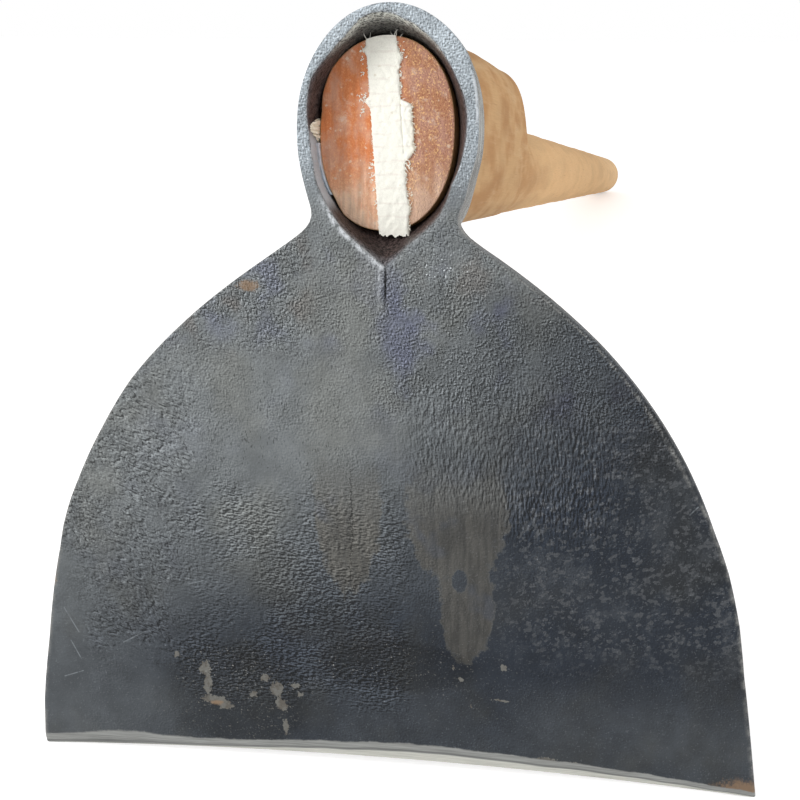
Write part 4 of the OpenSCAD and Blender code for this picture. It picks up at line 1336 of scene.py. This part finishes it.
heaps = [
    (-9.4, 50.4, 0.45, 12), (-9.6, 47.6, 0.4, 6), (-9.2, 43.6, 0.3, 5), (-9.2, 37.2, 0.6, 20), (-9.4, 33.2, 0.4, 8),
    (1.9, 49.4, 0.7, 20), (1.6, 43.8, 0.3, 10), (1.9, 40.5, 0.3, 6), (4.6, 18.0, 0.5, 12), (-6.3, 17.8, 0.4, 9),
    (-6.2, 14.6, 0.3, 7), (5.0, 9.5, 0.4, 5), (-5.6, 10.5, 0.3, 5), (-5.0, 6.5, 0.25, 4),
]
wedge_points, wedge_faces_all = joined([
    (wedge_loops.reshape(-1, 3), wedge_faces()),
    hairs,
    curls,
    torn_fringe(81, 150, 1, 0.9),
    torn_fringe(82, 90, -1, 0.6),
    crumbs(83, heaps),
])
wedge = mesh_piece("driven_wedge", wedge_points, wedge_faces_all, sharp=60)


def finish_wedge():
    """Ivory wood, dry and bare: faint level lines, thin grey mottles and darker pits where the
    end is crushed."""
    material, tree, surface = new_material("pale_dry_wood")
    hoe = hoe_frame(tree)
    wood = grained(tree, stretched(tree, hoe, (1, 1, 1), math.pi / 2), 2.65, 0.4, 14.0)
    place = put(tree, "SeparateXYZ", {0: hoe}).outputs
    bent = math_of(tree, "MULTIPLY_ADD", noise(tree, stretched(tree, hoe, (9, 9, 9))), 3.0, place[2])
    pitch = math_of(tree, "SINE", math_of(tree, "MULTIPLY", bent, 2 * math.pi / 3.9))
    grey = noise(tree, stretched(tree, hoe, (2.2, 6, 4.5)), detail=4, roughness=0.6)
    colour = blended(tree, ramp(tree, grey, 0.5, 0.7, 0, 0.35), (0.985, 0.97, 0.875), (0.84, 0.81, 0.74))
    broken = ramp(tree, noise(tree, stretched(tree, hoe, (3.5, 9, 1.6)), detail=3), 0.36, 0.56)
    lines = math_of(tree, "MULTIPLY", ramp(tree, pitch, 0.80, 0.98), broken)
    colour = blended(tree, math_of(tree, "MULTIPLY", lines, 0.34), colour, (0.76, 0.68, 0.61))
    colour = tinted(tree, colour, ramp(tree, wood["Fibre"], 0.3, 0.7, 0.95, 1.03))
    colour = blended(tree, ramp(tree, place[0], 4.4, 5.6, 0, 0.7), colour, (0.965, 0.915, 0.765))
    pits = speckled(tree, hoe, 1.3, 0.16)
    colour = blended(tree, math_of(tree, "MULTIPLY", pits, 0.35), colour, (0.62, 0.52, 0.36))
    tree.links.new(colour, surface.inputs["Base Color"])
    surface.inputs["Roughness"].default_value = 0.85
    surface.inputs["Specular IOR Level"].default_value = 0.25
    bumped = put(tree, "Bump", {"Height": wood["Fibre"], "Distance": 0.25 * mm, "Strength": 0.6})
    tree.links.new(bumped.outputs[0], surface.inputs["Normal"])
    return material


wedge.data.materials.append(finish_wedge())
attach(wedge, "root")
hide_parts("wedge")

# The shim. A strip of smooth blue-grey sheet pushed in between tenon and bore at the left, where
# the eye is too wide for the tenon. Its outer edge is rounded and shines a little.
shim_z = 10
shim_l = 15
shim_rows = 34
shim_low = tenon_low + shim_z
shim_top = shim_low + shim_l


def packed(z, share):
    """How far across the gap lies at a height, from the tenon at 0 to the throat at 1."""
    level = np.clip(np.abs((z - tenon_z) / (tenon_h / 2)), 0, 1)
    bulge = (1 - level ** tenon_power) ** (1 / tenon_power)
    return handle_x - bulge * (tenon_w / 2 + share * shim_t)


shim_share = np.array([0.02, 0.02, 0.12, 0.35, 0.65, 0.88, 0.98, 0.98])
shim_depth = np.array([eye_depth_top, 11.35, 11.08, 11.0, 11.0, 11.08, 11.35, eye_depth_top])
shim_height = mix(shim_low + 0.05, shim_top - 0.05, np.linspace(0, 1, shim_rows))[:, None]
corner_in = round_over(np.minimum(shim_height - shim_low, shim_top - shim_height), 0.8)
front_side = shim_depth < 12
shim_y = shim_depth + np.where(front_side, 0.7 * corner_in + 0.12 * waves(shim_height, 0 * shim_share, 7, 7, 91), 0)
shim_points = np.stack([packed(shim_height, shim_share), shim_y, shim_height + 0 * shim_share], axis=-1)
shim = mesh_piece("eye_packing_strip", shim_points.reshape(-1, 3), closed_rings(shim_rows, len(shim_share)), sharp=50)


def finish_shim():
    """Smooth sheet, blue-grey below and paler towards its top, with a soft shine."""
    material, tree, surface = new_material("blue_grey_sheet")
    hoe = hoe_frame(tree)
    height = put(tree, "SeparateXYZ", {0: hoe}).outputs[2]
    colour = blended(tree, ramp(tree, height, shim_low, shim_top), (0.42, 0.50, 0.58), (0.62, 0.62, 0.66))
    soft = noise(tree, stretched(tree, hoe, (1.5, 5, 3)), detail=3)
    colour = tinted(tree, colour, ramp(tree, soft, 0.3, 0.7, 0.8, 1.2))
    tree.links.new(colour, surface.inputs["Base Color"])
    tree.links.new(ramp(tree, soft, 0.3, 0.7, 0.25, 0.4), surface.inputs["Roughness"])
    surface.inputs["Metallic"].default_value = 0.2
    bumped = put(tree, "Bump", {"Height": soft, "Distance": 0.15 * mm, "Strength": 0.5})
    tree.links.new(bumped.outputs[0], surface.inputs["Normal"])
    return material


shim.data.materials.append(finish_shim())
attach(shim, "root")
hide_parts("eye_shim")

# The splinter. A flake torn from the tenon's flank as the handle was driven in, jammed between
# tenon and bore above the shim: a bundle of bent shavings whose ends stick out of the gap.
splinter_l = 8
shaving_n = 34


def shavings(seed):
    """Flat shavings that start deep in the gap above the shim and come forward out of it."""
    rng = np.random.default_rng(seed)
    z = rng.uniform(shim_top + 0.3, shim_top + splinter_l - 0.6, shaving_n)
    point_z = shim_top + 0.5 * splinter_l
    off_point = np.abs(z - point_z) / (0.5 * splinter_l)
    tip_z = mix(z, point_z, 0.35) + rng.normal(0, 0.35, shaving_n)
    start_y = rng.uniform(13.5, 17, shaving_n)
    tip_y = 2.2 + 7.5 * off_point * rng.uniform(0.6, 1, shaving_n) + rng.uniform(0, 1.5, shaving_n)
    start = np.stack([packed(z, rng.uniform(0.3, 0.7, shaving_n)), start_y, z], axis=-1)
    tip = np.stack([packed(tip_z, 1.2 - 0.7 * off_point), tip_y, tip_z], axis=-1)
    bow = rng.normal(0, 0.3, shaving_n)
    return slivers(start, tip, bow, rng.uniform(0.4, 0.9, shaving_n), flat=0.3, rings_n=7, around=6)


splinter = mesh_piece("torn_splinter", *shavings(95), sharp=50)


def finish_splinter():
    """Raw torn wood: cream shavings with olive shadows between the fibres."""
    material, tree, surface = new_material("torn_raw_wood")
    hoe = hoe_frame(tree)
    wood = grained(tree, hoe, 2.0, 0.3, 4.0)
    colour = blended(tree, ramp(tree, wood["Fibre"], 0.35, 0.65), (0.85, 0.78, 0.60), (1.0, 0.975, 0.86))
    colour = blended(tree, math_of(tree, "MULTIPLY", wood["Ring"], 0.18), colour, (0.60, 0.55, 0.42))
    tree.links.new(colour, surface.inputs["Base Color"])
    surface.inputs["Roughness"].default_value = 0.8
    bumped = put(tree, "Bump", {"Height": wood["Fibre"], "Distance": 0.25 * mm, "Strength": 0.7})
    tree.links.new(bumped.outputs[0], surface.inputs["Normal"])
    return material


splinter.data.materials.append(finish_splinter())
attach(splinter, "root")
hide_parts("splinter")

# The camera stands in front of the blade and a little to its right, near enough that the
# handle shrinks away behind the eye. Its angles are those of the view, in the hoe's frame.
eye_point = (79.1, -454.2, 15.6)
lens_ratio = 1618.4 / 800
sensor = 36
yaw, pitch, roll = np.radians([9.225, -7.981, -1.137])
turn = np.array([[math.cos(yaw), math.sin(yaw), 0], [-math.sin(yaw), math.cos(yaw), 0], [0, 0, 1]])
nod = np.array([[1, 0, 0], [0, math.cos(pitch), math.sin(pitch)], [0, -math.sin(pitch), math.cos(pitch)]])
look = np.array([[1, 0, 0], [0, 0, -1], [0, 1, 0]])
lean = np.array([[math.cos(roll), math.sin(roll), 0], [-math.sin(roll), math.cos(roll), 0], [0, 0, 1]])
tip = np.array([[1, 0, 0], [0, math.cos(tilt), math.sin(tilt)], [0, -math.sin(tilt), math.cos(tilt)]])
right, down, away = lean @ look @ nod @ turn @ tip.T
camera_data = bpy.data.cameras.new("camera")
camera_data.sensor_width = sensor
camera_data.lens = lens_ratio * sensor
camera_data.clip_start = 0.01
camera_data.clip_end = 50
camera = bpy.data.objects.new("camera", camera_data)
placed = np.vstack([np.column_stack([right, -down, -away, on_ground(eye_point)]), [0, 0, 0, 1]])
camera.matrix_world = Matrix(placed.tolist())
bpy.context.scene.collection.objects.link(camera)
bpy.context.scene.camera = camera

# The floor: a wide sheet of white paper that keeps the hoe's shadow. What the camera sees of
# it beyond the shadow is as white as the world behind it.
floor_half = 6
floor_corners = [(x * floor_half, y * floor_half, 0) for x, y in ((-1, -1), (1, -1), (1, 1), (-1, 1))]
floor_mesh = bpy.data.meshes.new("floor")
floor_mesh.from_pydata(floor_corners, [], [(0, 1, 2, 3)])
floor = bpy.data.objects.new("floor", floor_mesh)
bpy.context.scene.collection.objects.link(floor)
paper, paper_tree, paper_surface = new_material("white_paper")
paper_surface.inputs["Base Color"].default_value = (0.9, 0.9, 0.9, 1)
paper_surface.inputs["Roughness"].default_value = 0.9
paper_surface.inputs["Emission Color"].default_value = (1, 1, 1, 1)
floor_mesh.materials.append(paper)


def seen_directly(tree):
    """1 for rays from the camera, a mirror or glass, and 0 for those that light a surface."""
    path = put(tree, "LightPath")
    mirrored = math_of(tree, "MAXIMUM", path.outputs["Is Glossy Ray"], path.outputs["Is Transmission Ray"])
    return math_of(tree, "MAXIMUM", path.outputs["Is Camera Ray"], mirrored)


floor_lift = math_of(paper_tree, "MULTIPLY", seen_directly(paper_tree), 0.45)
paper_tree.links.new(floor_lift, paper_surface.inputs["Emission Strength"])

# The light: an even pale sky, one soft lamp to the upper left in front, and a second soft lamp to the right.
sky_level = 0.66
world = bpy.data.worlds.new("studio")
bpy.context.scene.world = world
world.use_nodes = True
sky = world.node_tree
level_seen = put(sky, "MapRange", {"Value": seen_directly(sky), "To Min": sky_level, "To Max": 1}).outputs[0]
sky.nodes["Background"].inputs["Color"].default_value = (1, 1, 1, 1)
sky.links.new(level_seen, sky.nodes["Background"].inputs["Strength"])


def soft_lamp(name, place, aim, size, power):
    """A square soft lamp at a place, in metres, turned to its aim."""
    data = bpy.data.lights.new(name, "AREA")
    data.size = size
    data.energy = power
    lamp = bpy.data.objects.new(name, data)
    lamp.location = place
    lamp.rotation_euler = (Vector(aim) - Vector(place)).to_track_quat("-Z", "Y").to_euler()
    bpy.context.scene.collection.objects.link(lamp)


soft_lamp("key_lamp", (-0.9, -1.6, 0.75), (0, -0.74, 0.15), 0.5, 11)
soft_lamp("side_lamp", (1.5, -0.9, 0.7), (0, -0.5, 0.15), 0.8, 7)
bpy.context.scene.view_settings.view_transform = "Standard"
